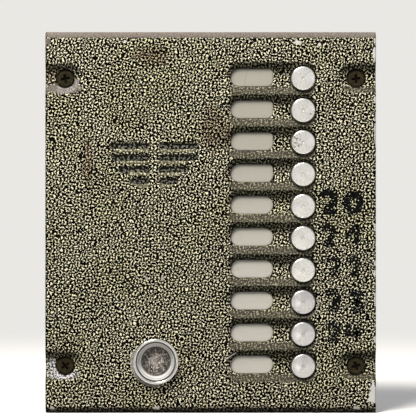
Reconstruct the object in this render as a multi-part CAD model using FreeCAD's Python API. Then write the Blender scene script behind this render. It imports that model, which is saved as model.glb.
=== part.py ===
"""Flush-mounted entrance call panel: cast front, ten call buttons, key reader, back box.

Units are millimetres. The origin is on the wall's surface behind the middle of the panel.
+Z is up, +X is right as seen by a caller, and -Y points out of the wall to the caller.
"""
import FreeCAD, Part
import math
import os

V = FreeCAD.Vector
AWAY = V(0, 1, 0)

# Rows of call buttons
row_count = 10
row_pitch = 17.0
end_margin = 25.0          # middle of the last row to the panel's end

# Columns, from the left edge of the panel to its right edge
left_margin = 58.1         # edge to the grille's middle
grille_to_window = 52.1
window_to_button = 27.0
right_margin = 38.8        # middle of the buttons to the edge

# Cast front panel
gasket_thickness = 1.0
panel_depth = 11.0         # rim to front face
face_wall = 2.8
side_wall = 3.0
bend_radius = 4.0          # rounded top and bottom
edge_radius = 0.8          # rounded left and right
scoop_depth = 2.2
ridge = 0.2                # flat left between two scoops
pad_margin = 1.0           # thick wall beyond the scoop's outline
cut_over = 2.0             # how far a cutter runs past the metal
same_place = 1e-6          # two points closer than this are one

# Name windows and cards
window_length = 22.3
window_height = 10.0
window_clearance = 0.1
window_recess = 0.5        # below the scoop's floor
window_lip = 1.6           # flange beyond the opening
window_flange = 1.0
card_thickness = 0.3
card_inset = 0.8           # card edge inside the flange's edge

# Call buttons
button_radius = 6.4
button_gap = 0.4           # between the button and its hole
button_height = 3.8        # above the scoop's floor
button_crown = 0.25        # rise of the middle of the cap
button_rounding = 0.9
pip_radius = 0.7
pip_depth = 0.3
button_travel = 1.5
button_lip = 1.0           # flange beyond the hole
button_flange = 1.0
button_play = 0.15         # flange to the panel
stem_radius = 2.5
stem_clearance = 0.06      # running fit in the guide
stem_reach = 1.2           # beyond the carrier at rest
pressed_clearance = 0.3
pocket_clearance = 0.4

# Button carrier
guide_length = 3.4
carrier_margin = 4.4       # outline beyond the screw lines
screw_line_left = 6.6      # outside the windows' flanges
screw_line_right = 5.6     # outside the buttons' flanges
carrier_screw_rows = 4     # rows from the middle to the outer screws
post_rows = 2              # rows from the middle to the board's posts
carrier_end = 7.5          # beyond the middle of the last row
plate_corner = 2.0         # corners of the carrier and the board
well_side = 1.4            # rim between light well and window opening

# Small screws
small_screw_radius = 1.5
small_hole_clearance = 0.2
thread_clearance = 0.05
small_head_radius = 2.8
small_head_height = 2.0
boss_radius = 3.4
small_screw_grip = 3.0     # length held by the thread

# Silicone key mat and circuit board
mat_thickness = 1.0
mat_side = 7.5             # beyond the middle of the buttons
dome_radius = 5.4
dome_top_radius = 3.1
dome_wall = 1.0
dome_gap = 0.1             # between stem and dome
dome_hollow = 2.3          # travel left inside the dome
dome_crown = 1.3           # solid top of the dome
board_thickness = 1.6
board_inset = 1.0          # board edge inside the carrier's edge
lamp_radius = 1.5
lamp_length = 5.2
lamp_collar = 0.5
lamp_collar_height = 1.0

# Parts on the back of the circuit board
chip_length = 19.2
chip_width = 7.0
chip_height = 4.0
chip_spacing = 42.0
capacitor_radius = 4.0
capacitor_height = 11.0
capacitor_count = 3
capacitor_spacing = 11.0
terminal_pitch = 5.0
terminal_count = 8
terminal_depth = 9.0
terminal_height = 10.0
terminal_screw_radius = 1.7
terminal_screw_length = 4.0
terminal_rise = 14.0       # above the board's lower end

# Grille
grille_drop = 61.1         # panel's top to the first slots
slot_pitch = 6.25
slot_height = 3.1
grille_rib = 5.6           # between left and right slots
slot_reaches = (23.8, 22.6, 18.4, 12.7)

# Loudspeaker
speaker_drop = 7.4         # first slots to the speaker's middle
speaker_radius = 28.5
cloth_thickness = 0.3
cloth_inset = 0.5
foam_width = 3.3
foam_thickness = 1.3
frame_wall = 1.2
flange_width = 4.5
basket_depth = 11.4
basket_rear_radius = 16.0
basket_openings = 4
basket_opening_width = 16.0
magnet_radius = 16.0
magnet_depth = 8.0
yoke_depth = 2.0
coil_radius = 6.6
coil_wall = 0.6
coil_play = 0.5
coil_depth = 3.0
cone_wall = 0.4
cone_depth = 9.0
cone_rim = 2.6
rib_wall = 1.5
rib_clearance = 0.3
clip_angles = (60.0, 180.0, 300.0)
clip_width = 8.0
clip_thickness = 1.2
clip_bite = 1.9            # clip over the speaker's flange
clip_tail = 3.6            # clip beyond its screw

# Microphone
mic_drop = 70.4            # first slots to the microphone
mic_hole_radius = 0.95
mic_hole_pitch = 8.6
mic_radius = 4.85
mic_length = 5.5
mic_clearance = 0.05
boot_radius = 9.0
mic_chamber_radius = 6.2
mic_chamber_depth = 1.5
boot_rib_height = 3.0

# Key reader
reader_offset = 0.8        # right of the grille's middle
reader_rise = 27.4         # above the panel's lower end
reader_radius = 12.15
reader_height = 2.6        # rim above the panel's face
reader_rim = 1.55          # width of the rounded rim
reader_groove = 0.5
reader_groove_depth = 0.9
cup_mouth_radius = 9.8
cup_floor_radius = 7.7
cup_depth = 5.0            # rim to the insulator
cup_lip = 0.3
barrel_radius = 9.5
barrel_clearance = 0.2
barrel_wall = 1.3
washer_width = 3.4
washer_thickness = 0.8
nut_flats = 24.0
nut_height = 3.2
insulator_clearance = 0.05
insulator_length = 7.0
contact_radius = 4.8
contact_gap = 0.3
contact_proud = 0.4
contact_thickness = 1.0
contact_travel = 0.8
contact_rest_gap = 0.3     # left under the contact when pressed
contact_stem_radius = 1.25
contact_groove_depth = 0.45
clip_ring_radius = 2.8
clip_ring_thickness = 0.6
clip_ring_play = 0.2
contact_tail = 0.6
disc_spring_thickness = 0.25

# Panel fixing screws
fixing_inset = 10.5        # screw to the side of the panel
fixing_scoop_shift = 2.2   # scoop's end behind the screw
fixing_radius = 2.5
fixing_head_radius = 4.7
fixing_length = 22.0
fixing_hole_clearance = 0.25
fixing_head_clearance = 0.1
fixing_boss_radius = 6.5
cross_length = 4.75
cross_width = 1.1
cross_depth = 1.6
cross_angles = (12.0, 38.0, 71.0, 24.0)

# Back box
box_gap = 2.0              # box to the gasket's inner edge
box_wall = 1.5
box_depth = 42.0
box_corner = 4.0
ear_setback = 0.6
ear_thickness = 2.4
ear_half_height = 6.0
ear_inner = 6.0            # beyond the screw
box_hole_radius = 2.75
box_hole_spacing_x = 110.0
box_hole_spacing_z = 140.0
knockout_radius = 10.5
knockout_groove = 0.8
knockout_groove_depth = 0.7
knockout_offset = 40.0
grommet_height = 60.0      # cable entry above the middle
grommet_hole_radius = 9.0
grommet_bore_radius = 4.5
grommet_lip = 2.5
grommet_lip_thickness = 2.0
grommet_clearance = 0.05

# Outline and columns worked out from the sizes above
rows_span = (row_count - 1) * row_pitch
panel_width = left_margin + grille_to_window + window_to_button + right_margin
panel_height = rows_span + 2 * end_margin
half_width = panel_width / 2
half_height = panel_height / 2
grille_x = left_margin - half_width
window_x = grille_x + grille_to_window
button_x = window_x + window_to_button
row_heights = [rows_span / 2 - row * row_pitch for row in range(row_count)]

# Levels from the caller's side to the wall
rim_y = -gasket_thickness
face_y = rim_y - panel_depth
floor_y = face_y + scoop_depth
face_back_y = face_y + face_wall
pad_y = floor_y + face_wall
card_y = pad_y + window_flange
carrier_y = card_y + card_thickness
flange_y = pad_y + button_play
pocket_y = flange_y + button_flange + button_travel + pressed_clearance
carrier_back_y = pocket_y + guide_length
stem_end_y = carrier_back_y + stem_reach
dome_y = stem_end_y + dome_gap
mat_y = dome_y + dome_crown + dome_hollow - mat_thickness
board_y = mat_y + mat_thickness
board_back_y = board_y + board_thickness

# Scoops
scoop_half = (row_pitch - ridge) / 2
scoop_radius = (scoop_half ** 2 + scoop_depth ** 2) / (2 * scoop_depth)
window_half = window_length / 2
window_end_radius = window_height / 2
scoop_left_x = window_x - window_half + window_end_radius

# Carrier outline
button_hole_radius = button_radius + button_gap
button_flange_radius = button_hole_radius + button_lip
left_screw_x = window_x - window_half - screw_line_left
right_screw_x = button_x + button_flange_radius + screw_line_right
carrier_left = left_screw_x - carrier_margin
carrier_right = right_screw_x + carrier_margin
carrier_half = rows_span / 2 + carrier_end

# Speaker levels
grille_z = half_height - grille_drop
speaker_z = grille_z - speaker_drop
cloth_y = face_back_y
foam_y = cloth_y + cloth_thickness
speaker_y = foam_y + foam_thickness
speaker_back_y = speaker_y + frame_wall
basket_back_y = speaker_back_y + basket_depth
clip_seat_radius = speaker_radius + rib_clearance + rib_wall + boss_radius

# Microphone and reader
mic_z = grille_z - mic_drop
boot_length = mic_chamber_depth + mic_length
reader_x = grille_x + reader_offset
reader_z = reader_rise - half_height
reader_y = face_y - reader_height
insulator_y = reader_y + cup_depth
insulator_back_y = insulator_y + insulator_length
contact_y = insulator_y - contact_proud
contact_back_y = contact_y + contact_thickness
contact_well_y = contact_back_y + contact_travel + contact_rest_gap
clip_ring_y = insulator_back_y + clip_ring_play
reader_bore_radius = barrel_radius - barrel_wall

# Fixing screws and back box
fixing_x = half_width - fixing_inset
fixing_places = [(side * fixing_x, end * rows_span / 2) for side in (-1, 1) for end in (-1, 1)]
box_half_width = half_width - side_wall - box_gap
box_half_height = half_height - side_wall - box_gap
head_height = fixing_head_radius - fixing_radius


def block(x0, x1, y0, y1, z0, z1):
    """Box between two corners."""
    return Part.makeBox(x1 - x0, y1 - y0, z1 - z0, V(x0, y0, z0))


def rod(x, z, radius, y0, y1):
    """Round bar along Y."""
    return Part.makeCylinder(radius, y1 - y0, V(x, y0, z), AWAY)


def tube(x, z, outer, inner, y0, y1):
    """Round tube along Y."""
    return rod(x, z, outer, y0, y1).cut(rod(x, z, inner, y0 - cut_over, y1 + cut_over))


def stadium(x, z, length, height, y0, y1):
    """Bar along Y with two straight sides and round ends."""
    radius = height / 2
    reach = length / 2 - radius
    lower_left = V(x - reach, y0, z - radius)
    lower_right = V(x + reach, y0, z - radius)
    upper_left = V(x - reach, y0, z + radius)
    upper_right = V(x + reach, y0, z + radius)
    edges = [
        Part.LineSegment(lower_left, lower_right).toShape(),
        Part.Arc(lower_right, V(x + reach + radius, y0, z), upper_right).toShape(),
        Part.LineSegment(upper_right, upper_left).toShape(),
        Part.Arc(upper_left, V(x - reach - radius, y0, z), lower_left).toShape(),
    ]
    return Part.Face(Part.Wire(edges)).extrude(V(0, y1 - y0, 0))


def rounded_block(x0, x1, z0, z1, radius, y0, y1):
    """Box whose four edges along Y are rounded."""
    body = block(x0, x1, y0, y1, z0, z1)
    upright = [edge for edge in body.Edges if abs(edge.tangentAt(edge.FirstParameter).y) > 0.99]
    return body.makeFillet(radius, upright)


def turned(x, z, profile):
    """Solid of revolution about a line along Y; the profile is a list of (radius, y)."""
    points = [V(x + radius, y, z) for radius, y in profile]
    outline = Part.makePolygon(points + points[:1])
    return Part.Face(outline).revolve(V(x, 0, z), AWAY, 360)


def scoop_section(x, z, half):
    """Face across a scoop, whole or its upper half, with room above the metal."""
    top_y = face_y - cut_over
    rim = V(x, face_y, z + scoop_half)
    if half:
        turn = math.asin(scoop_half / scoop_radius) / 2
        rise = scoop_radius * (1 - math.cos(turn))
        start = V(x, floor_y, z)
        middle = V(x, floor_y - rise, z + scoop_radius * math.sin(turn))
    else:
        start = V(x, face_y, z - scoop_half)
        middle = V(x, floor_y, z)
    corners = [rim, V(x, top_y, rim.z), V(x, top_y, start.z), start]
    edges = [Part.Arc(start, middle, rim).toShape()]
    edges += [Part.LineSegment(a, b).toShape() for a, b in zip(corners, corners[1:])]
    return Part.Face(Part.Wire(edges))


def scoop(x0, x1, z, round_left, round_right):
    """Cutter for a shallow trough with a round section and half-round ends."""
    cutter = scoop_section(x0, z, False).extrude(V(x1 - x0, 0, 0))
    ends = []
    if round_left:
        ends.append(scoop_section(x0, z, True).revolve(V(x0, 0, z), AWAY, -180))
    if round_right:
        ends.append(scoop_section(x1, z, True).revolve(V(x1, 0, z), AWAY, 180))
    return cutter.fuse(ends)


def panel_shell():
    """Open cast tray with rounded top and bottom edges and softened sides."""
    top = half_height
    start = V(-half_width, rim_y, -top)
    low_bend = V(-half_width, face_y + bend_radius, -top)
    low_face = V(-half_width, face_y, -top + bend_radius)
    high_face = V(-half_width, face_y, top - bend_radius)
    high_bend = V(-half_width, face_y + bend_radius, top)
    finish = V(-half_width, rim_y, top)
    inside = bend_radius * (1 - math.sqrt(0.5))
    edges = [
        Part.LineSegment(start, low_bend).toShape(),
        Part.Arc(low_bend, V(-half_width, face_y + inside, -top + inside), low_face).toShape(),
        Part.LineSegment(low_face, high_face).toShape(),
        Part.Arc(high_face, V(-half_width, face_y + inside, top - inside), high_bend).toShape(),
        Part.LineSegment(high_bend, finish).toShape(),
        Part.LineSegment(finish, start).toShape(),
    ]
    body = Part.Face(Part.Wire(edges)).extrude(V(panel_width, 0, 0))
    sides = []
    for edge in body.Edges:
        box = edge.BoundBox
        on_side = abs(abs(box.XMin) - half_width) < same_place and box.XLength < same_place
        if on_side and box.YMin < rim_y - same_place:
            sides.append(edge)
    body = body.makeFillet(edge_radius, sides)
    hollow = block(
        side_wall - half_width, half_width - side_wall,
        face_back_y, rim_y + cut_over,
        side_wall - half_height, half_height - side_wall,
    )
    return body.cut(hollow)


def carrier_screw_places():
    """Places of the six screws that hold the button carrier."""
    outer = carrier_screw_rows * row_pitch
    return [(x, z) for x in (left_screw_x, right_screw_x) for z in (-outer, 0, outer)]


def clip_places():
    """Places of the speaker's clip screws."""
    places = []
    for angle in clip_angles:
        turn = math.radians(angle)
        x = grille_x + clip_seat_radius * math.cos(turn)
        z = speaker_z + clip_seat_radius * math.sin(turn)
        places.append((x, z))
    return places


def front_panel():
    """Front panel with scoops, openings, grille, and the seats on its back."""
    body = panel_shell()
    pads = [
        block(
            scoop_left_x - scoop_half - pad_margin, button_x + scoop_half + pad_margin,
            face_back_y - face_wall / 2, pad_y,
            -rows_span / 2 - scoop_half - pad_margin, rows_span / 2 + scoop_half + pad_margin,
        ),
        tube(
            grille_x, speaker_z,
            speaker_radius + rib_clearance + rib_wall, speaker_radius + rib_clearance,
            face_back_y - face_wall / 2, speaker_back_y - rib_clearance,
        ),
        tube(
            grille_x, mic_z,
            boot_radius + rib_clearance + rib_wall, boot_radius + rib_clearance,
            face_back_y - face_wall / 2, face_back_y + boot_rib_height,
        ),
    ]
    wall_inner = half_width - side_wall / 2
    for x, z in fixing_places:
        inner = fixing_x - fixing_scoop_shift - scoop_half - pad_margin
        x0, x1 = (inner, wall_inner) if x > 0 else (-wall_inner, -inner)
        lower, upper = z - scoop_half - pad_margin, z + scoop_half + pad_margin
        pads.append(block(x0, x1, face_back_y - face_wall / 2, pad_y, lower, upper))
        pads.append(rod(x, z, fixing_boss_radius, face_back_y - face_wall / 2, rim_y))
    for x, z in carrier_screw_places():
        pads.append(rod(x, z, boss_radius, face_back_y - face_wall / 2, carrier_y))
    for x, z in clip_places():
        pads.append(rod(x, z, boss_radius, face_back_y - face_wall / 2, speaker_back_y))
    body = body.fuse(pads)

    cuts = []
    front = face_y - cut_over
    for z in row_heights:
        cuts.append(scoop(scoop_left_x, button_x, z, True, True))
        cuts.append(stadium(window_x, z, window_length, window_height, front, pad_y + cut_over))
        cuts.append(rod(button_x, z, button_hole_radius, front, pad_y + cut_over))
    for x, z in fixing_places:
        side = 1 if x > 0 else -1
        near = side * (fixing_x - fixing_scoop_shift)
        far = side * (half_width + cut_over)
        cuts.append(scoop(min(near, far), max(near, far), z, side > 0, side < 0))
        head = fixing_head_radius + fixing_head_clearance
        hole = fixing_radius + fixing_hole_clearance
        cuts.append(turned(x, z, [
            (0, front), (head, front), (head, floor_y),
            (hole, floor_y + head - hole), (hole, rim_y + cut_over), (0, rim_y + cut_over),
        ]))
    for index, reach in enumerate(slot_reaches):
        z = grille_z - index * slot_pitch
        length = reach - grille_rib / 2
        for side in (-1, 1):
            x = grille_x + side * (grille_rib / 2 + length / 2)
            cuts.append(stadium(x, z, length, slot_height, front, face_back_y + cut_over))
    for side in (-1, 1):
        x = grille_x + side * mic_hole_pitch / 2
        cuts.append(rod(x, mic_z, mic_hole_radius, front, face_back_y + cut_over))
    hole = barrel_radius + barrel_clearance
    cuts.append(rod(reader_x, reader_z, hole, front, face_back_y + cut_over))
    tap = small_screw_radius + thread_clearance
    for x, z in carrier_screw_places():
        deep = carrier_y - small_screw_grip - thread_clearance
        cuts.append(rod(x, z, tap, deep, carrier_y + cut_over))
    for x, z in clip_places():
        deep = speaker_back_y - small_screw_grip - thread_clearance
        cuts.append(rod(x, z, tap, deep, speaker_back_y + cut_over))
    return body.cut(cuts)


def panel_gasket():
    """Flat seal between the panel's rim and the wall."""
    outer = block(-half_width, half_width, rim_y, 0, -half_height, half_height)
    inner = block(
        side_wall - half_width, half_width - side_wall,
        rim_y - cut_over, cut_over,
        side_wall - half_height, half_height - side_wall,
    )
    return outer.cut(inner)


def fixing_screws():
    """Four countersunk screws with a cross recess."""
    screws = []
    for (x, z), angle in zip(fixing_places, cross_angles):
        body = turned(x, z, [
            (0, floor_y), (fixing_head_radius, floor_y),
            (fixing_radius, floor_y + head_height),
            (fixing_radius, floor_y + fixing_length), (0, floor_y + fixing_length),
        ])
        for turn in (angle, angle + 90):
            bar = block(
                x - cross_length / 2, x + cross_length / 2,
                floor_y - cut_over, floor_y + cross_depth,
                z - cross_width / 2, z + cross_width / 2,
            )
            bar.rotate(V(x, 0, z), AWAY, turn)
            body = body.cut(bar)
        screws.append(body)
    return Part.makeCompound(screws)


def call_button(z):
    """Turned cap with a crowned top, retaining flange and guide stem."""
    top = floor_y - button_height
    edge = top + button_crown
    corner = button_rounding * (1 - math.sqrt(0.5))
    shoulder = V(button_x + button_radius - button_rounding, edge, z)
    side = V(button_x + button_radius, edge + button_rounding, z)
    middle = V(button_x + button_radius - corner, edge + corner, z)
    ring = [
        V(button_x + button_radius, flange_y, z),
        V(button_x + button_flange_radius, flange_y, z),
        V(button_x + button_flange_radius, flange_y + button_flange, z),
        V(button_x + stem_radius, flange_y + button_flange, z),
        V(button_x + stem_radius, stem_end_y, z),
        V(button_x, stem_end_y, z),
        V(button_x, top + pip_depth, z),
        V(button_x + pip_radius, top, z),
    ]
    edges = [Part.Arc(shoulder, middle, side).toShape()]
    chain = [side] + ring + [shoulder]
    for start, end in zip(chain, chain[1:]):
        edges.append(Part.LineSegment(start, end).toShape())
    return Part.Face(Part.Wire(edges)).revolve(V(button_x, 0, z), AWAY, 360)


def name_window(z):
    """Milky lens that fills the opening, with a flange behind the panel."""
    inset = 2 * window_clearance
    lens = stadium(
        window_x, z, window_length - inset, window_height - inset,
        floor_y + window_recess, pad_y + window_flange / 2,
    )
    flange = block(
        window_x - window_half - window_lip, window_x + window_half + window_lip,
        pad_y, card_y,
        z - window_height / 2 - window_lip, z + window_height / 2 + window_lip,
    )
    return lens.fuse(flange)


def name_cards():
    """Ten paper cards, each behind its window."""
    half_length = window_half + window_lip - card_inset
    half_card = window_height / 2 + window_lip - card_inset
    return Part.makeCompound([
        block(
            window_x - half_length, window_x + half_length,
            card_y, carrier_y, z - half_card, z + half_card,
        )
        for z in row_heights
    ])


def board_post_places():
    """Places of the carrier's posts for the circuit board."""
    height = post_rows * row_pitch
    return [(x, z) for x in (left_screw_x, right_screw_x) for z in (-height, height)]


def button_carrier():
    """Moulded plate that guides the buttons, clamps the windows and carries the board."""
    body = rounded_block(
        carrier_left, carrier_right, -carrier_half, carrier_half,
        plate_corner, carrier_y, carrier_back_y,
    )
    root_y = carrier_back_y - guide_length / 2
    body = body.fuse([rod(x, z, boss_radius, root_y, board_y) for x, z in board_post_places()])
    cuts = []
    for z in row_heights:
        pocket = button_flange_radius + pocket_clearance
        cuts.append(rod(button_x, z, pocket, carrier_y - cut_over, pocket_y))
        guide = stem_radius + stem_clearance
        cuts.append(rod(button_x, z, guide, carrier_y - cut_over, carrier_back_y + cut_over))
        cuts.append(stadium(
            window_x, z, window_length - 2 * well_side, window_height - 2 * well_side,
            carrier_y - cut_over, carrier_back_y + cut_over,
        ))
    hole = small_screw_radius + small_hole_clearance
    for x, z in carrier_screw_places():
        cuts.append(rod(x, z, hole, carrier_y - cut_over, carrier_back_y + cut_over))
    tap = small_screw_radius + thread_clearance
    for x, z in board_post_places():
        deep = board_y - small_screw_grip - thread_clearance
        cuts.append(rod(x, z, tap, deep, board_y + cut_over))
    return body.cut(cuts)


def pan_screw(x, z, seat_y, clamped):
    """Pan-head screw whose head rests on seat_y and whose thread reaches past the clamped part."""
    head = rod(x, z, small_head_radius, seat_y, seat_y + small_head_height)
    return head.fuse(rod(x, z, small_screw_radius, seat_y - clamped - small_screw_grip, seat_y))


def carrier_screws():
    """Six screws that hold the carrier to the panel."""
    clamped = carrier_back_y - carrier_y
    return Part.makeCompound([
        pan_screw(x, z, carrier_back_y, clamped) for x, z in carrier_screw_places()
    ])


def board_screws():
    """Four screws that hold the board to the carrier's posts."""
    return Part.makeCompound([
        pan_screw(x, z, board_back_y, board_thickness) for x, z in board_post_places()
    ])


def key_mat():
    """Silicone strip with a hollow dome under each button."""
    base = block(
        button_x - mat_side, button_x + mat_side, mat_y, board_y,
        -rows_span / 2 - mat_side, rows_span / 2 + mat_side,
    )
    domes = [
        turned(button_x, z, [
            (0, dome_y), (dome_top_radius, dome_y), (dome_radius, mat_y),
            (dome_radius, board_y), (0, board_y),
        ])
        for z in row_heights
    ]
    hollows = [
        turned(button_x, z, [
            (0, dome_y + dome_crown), (dome_top_radius - dome_wall / 2, dome_y + dome_crown),
            (dome_radius - dome_wall, board_y), (dome_radius - dome_wall, board_y + cut_over),
            (0, board_y + cut_over),
        ])
        for z in row_heights
    ]
    return base.fuse(domes).cut(hollows)


def circuit_board():
    """Board behind the carrier, with holes for its four screws."""
    body = rounded_block(
        carrier_left + board_inset, carrier_right - board_inset,
        board_inset - carrier_half, carrier_half - board_inset,
        plate_corner, board_y, board_back_y,
    )
    hole = small_screw_radius + small_hole_clearance
    return body.cut([
        rod(x, z, hole, board_y - cut_over, board_back_y + cut_over) for x, z in board_post_places()
    ])


def label_lamps():
    """Ten small round lamps on the board, one behind each window."""
    tip_y = board_y - lamp_length
    return Part.makeCompound([
        turned(window_x, z, [
            (0, tip_y), (lamp_radius / 2, tip_y), (lamp_radius, tip_y + lamp_radius / 2),
            (lamp_radius, board_y - lamp_collar_height),
            (lamp_radius + lamp_collar, board_y - lamp_collar_height),
            (lamp_radius + lamp_collar, board_y), (0, board_y),
        ])
        for z in row_heights
    ])


def chip(z):
    """Integrated circuit on the back of the board, lying across it."""
    middle = (left_screw_x + right_screw_x) / 2
    return block(
        middle - chip_length / 2, middle + chip_length / 2,
        board_back_y, board_back_y + chip_height, z - chip_width / 2, z + chip_width / 2,
    )


def capacitors():
    """Row of round capacitors on the back of the board."""
    middle = (left_screw_x + right_screw_x) / 2
    first = middle - (capacitor_count - 1) * capacitor_spacing / 2
    return Part.makeCompound([
        rod(first + index * capacitor_spacing, 0, capacitor_radius,
            board_back_y, board_back_y + capacitor_height)
        for index in range(capacitor_count)
    ])


def terminal_places():
    """Middle of each terminal, and the height of the block's middle."""
    middle = (left_screw_x + right_screw_x) / 2
    first = middle - (terminal_count - 1) * terminal_pitch / 2
    return [first + index * terminal_pitch for index in range(terminal_count)]


def terminal_block():
    """Screw terminals for the wires that come out of the wall."""
    places = terminal_places()
    z = board_inset - carrier_half + terminal_rise
    body = block(
        places[0] - terminal_pitch / 2, places[-1] + terminal_pitch / 2,
        board_back_y, board_back_y + terminal_height,
        z - terminal_depth / 2, z + terminal_depth / 2,
    )
    top = board_back_y + terminal_height
    cuts = []
    for x in places:
        well = terminal_screw_radius + thread_clearance
        cuts.append(rod(x, z, well, top - terminal_screw_length, top + cut_over))
        mouth = terminal_screw_radius
        cuts.append(block(
            x - mouth, x + mouth, board_back_y + mouth, board_back_y + 3 * mouth,
            z - terminal_depth / 2 - cut_over, z - terminal_screw_radius - thread_clearance,
        ))
    return body.cut(cuts)


def terminal_screws():
    """Screws of the terminal block, with a straight slot."""
    z = board_inset - carrier_half + terminal_rise
    top = board_back_y + terminal_height
    screws = []
    for x in terminal_places():
        body = rod(x, z, terminal_screw_radius, top - terminal_screw_length, top)
        slot = block(
            x - terminal_screw_radius, x + terminal_screw_radius,
            top - terminal_screw_radius / 2, top + cut_over,
            z - terminal_screw_radius / 5, z + terminal_screw_radius / 5,
        )
        screws.append(body.cut(slot))
    return Part.makeCompound(screws)


def speaker_cloth():
    """Dust cloth between the grille and the speaker."""
    return rod(grille_x, speaker_z, speaker_radius - cloth_inset, cloth_y, foam_y)


def speaker_gasket():
    """Foam ring between the cloth and the speaker's flange."""
    return tube(grille_x, speaker_z, speaker_radius, speaker_radius - foam_width, foam_y, speaker_y)


def speaker_frame():
    """Pressed basket with openings in its cone-shaped wall."""
    inner = speaker_radius - flange_width
    rear_hole = basket_rear_radius / 2
    body = turned(grille_x, speaker_z, [
        (inner, speaker_y), (speaker_radius, speaker_y), (speaker_radius, speaker_back_y),
        (inner + frame_wall, speaker_back_y),
        (basket_rear_radius, basket_back_y), (rear_hole, basket_back_y),
        (rear_hole, basket_back_y - frame_wall),
        (basket_rear_radius - frame_wall, basket_back_y - frame_wall),
        (inner, speaker_back_y),
    ])
    cuts = []
    for index in range(basket_openings):
        bar = block(
            grille_x, grille_x + speaker_radius,
            speaker_back_y + frame_wall, basket_back_y - 2 * frame_wall,
            speaker_z - basket_opening_width / 2, speaker_z + basket_opening_width / 2,
        )
        turn = 360 * (index + 0.5) / basket_openings
        bar.rotate(V(grille_x, 0, speaker_z), AWAY, turn)
        cuts.append(bar)
    return body.cut(cuts)


def speaker_magnet():
    """Ring magnet and yoke with the gap for the voice coil."""
    body = turned(grille_x, speaker_z, [
        (0, basket_back_y), (magnet_radius, basket_back_y),
        (magnet_radius, basket_back_y + magnet_depth),
        (magnet_radius - yoke_depth, basket_back_y + magnet_depth + yoke_depth),
        (0, basket_back_y + magnet_depth + yoke_depth),
    ])
    outer = coil_radius + coil_play
    inner = coil_radius - coil_wall - coil_play
    deep = basket_back_y + coil_depth + coil_play
    return body.cut(tube(grille_x, speaker_z, outer, inner, basket_back_y - cut_over, deep))


def speaker_cone():
    """Paper cone with its rim on the flange, dust cap and voice coil."""
    rim = speaker_radius - foam_width - rib_clearance
    bend = speaker_radius - flange_width - cone_rim
    apex_y = speaker_y + cone_depth - cone_wall
    neck = coil_radius - coil_wall
    front = speaker_y - cone_wall
    return turned(grille_x, speaker_z, [
        (0, apex_y - 3 * cone_wall), (neck, apex_y - cone_wall),
        (bend, front), (rim, front), (rim, speaker_y), (bend + cone_wall, speaker_y),
        (coil_radius, apex_y + cone_wall), (coil_radius, basket_back_y + coil_depth),
        (neck, basket_back_y + coil_depth), (neck, apex_y), (0, apex_y - 2 * cone_wall),
    ])


def speaker_clips():
    """Flat clips that press the speaker's flange to the panel."""
    clips = []
    for (x, z), angle in zip(clip_places(), clip_angles):
        near = speaker_radius - clip_bite - clip_seat_radius
        strip = block(
            near, clip_tail, speaker_back_y, speaker_back_y + clip_thickness,
            -clip_width / 2, clip_width / 2,
        )
        strip.rotate(V(0, 0, 0), AWAY, -angle)
        strip.translate(V(x, 0, z))
        hole = small_screw_radius + small_hole_clearance
        seat = speaker_back_y
        end = seat + clip_thickness + cut_over
        clips.append(strip.cut(rod(x, z, hole, seat - cut_over, end)))
    return Part.makeCompound(clips)


def clip_screws():
    """Screws of the speaker's clips."""
    seat = speaker_back_y + clip_thickness
    return Part.makeCompound([pan_screw(x, z, seat, clip_thickness) for x, z in clip_places()])


def microphone():
    """Round microphone capsule."""
    start = face_back_y + mic_chamber_depth
    return rod(grille_x, mic_z, mic_radius, start, start + mic_length)


def microphone_boot():
    """Rubber cup that seals the microphone to the panel around the sound holes."""
    start = face_back_y
    return turned(grille_x, mic_z, [
        (mic_chamber_radius, start), (boot_radius, start), (boot_radius, start + boot_length),
        (mic_radius + mic_clearance, start + boot_length),
        (mic_radius + mic_clearance, start + mic_chamber_depth),
        (mic_chamber_radius, start + mic_chamber_depth),
    ])


def reader_bezel():
    """Turned cup with a rounded rim and a threaded barrel through the panel."""
    crest = reader_y
    rim_middle = reader_radius - reader_rim / 2
    groove_out = reader_radius - reader_rim
    groove_in = groove_out - reader_groove
    shoulder_y = crest + reader_groove_depth / 2
    valley_y = crest + reader_groove_depth
    back = insulator_back_y
    outer_low = V(reader_x + reader_radius, face_y, reader_z)
    outer_top = V(reader_x + reader_radius, crest + reader_rim / 2, reader_z)
    rim_top = V(reader_x + rim_middle, crest, reader_z)
    rim_inner = V(reader_x + groove_out, crest + reader_rim / 2, reader_z)
    chain = [
        rim_inner,
        V(reader_x + groove_out, valley_y, reader_z),
        V(reader_x + groove_in, valley_y, reader_z),
        V(reader_x + cup_mouth_radius, shoulder_y, reader_z),
        V(reader_x + cup_floor_radius, insulator_y - cup_lip, reader_z),
        V(reader_x + cup_floor_radius, insulator_y, reader_z),
        V(reader_x + reader_bore_radius, insulator_y, reader_z),
        V(reader_x + reader_bore_radius, back, reader_z),
        V(reader_x + barrel_radius, back, reader_z),
        V(reader_x + barrel_radius, face_y, reader_z),
        outer_low,
        outer_top,
    ]
    edges = [Part.Arc(outer_top, rim_top, rim_inner).toShape()]
    for start, end in zip(chain, chain[1:]):
        edges.append(Part.LineSegment(start, end).toShape())
    return Part.Face(Part.Wire(edges)).revolve(V(reader_x, 0, reader_z), AWAY, 360)


def reader_insulator():
    """Plastic core of the reader, with a well for the contact."""
    outer = reader_bore_radius - insulator_clearance
    well = contact_radius + contact_gap
    bore = contact_stem_radius + stem_clearance
    return turned(reader_x, reader_z, [
        (well, insulator_y), (outer, insulator_y), (outer, insulator_back_y),
        (bore, insulator_back_y), (bore, contact_well_y), (well, contact_well_y),
    ])


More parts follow.
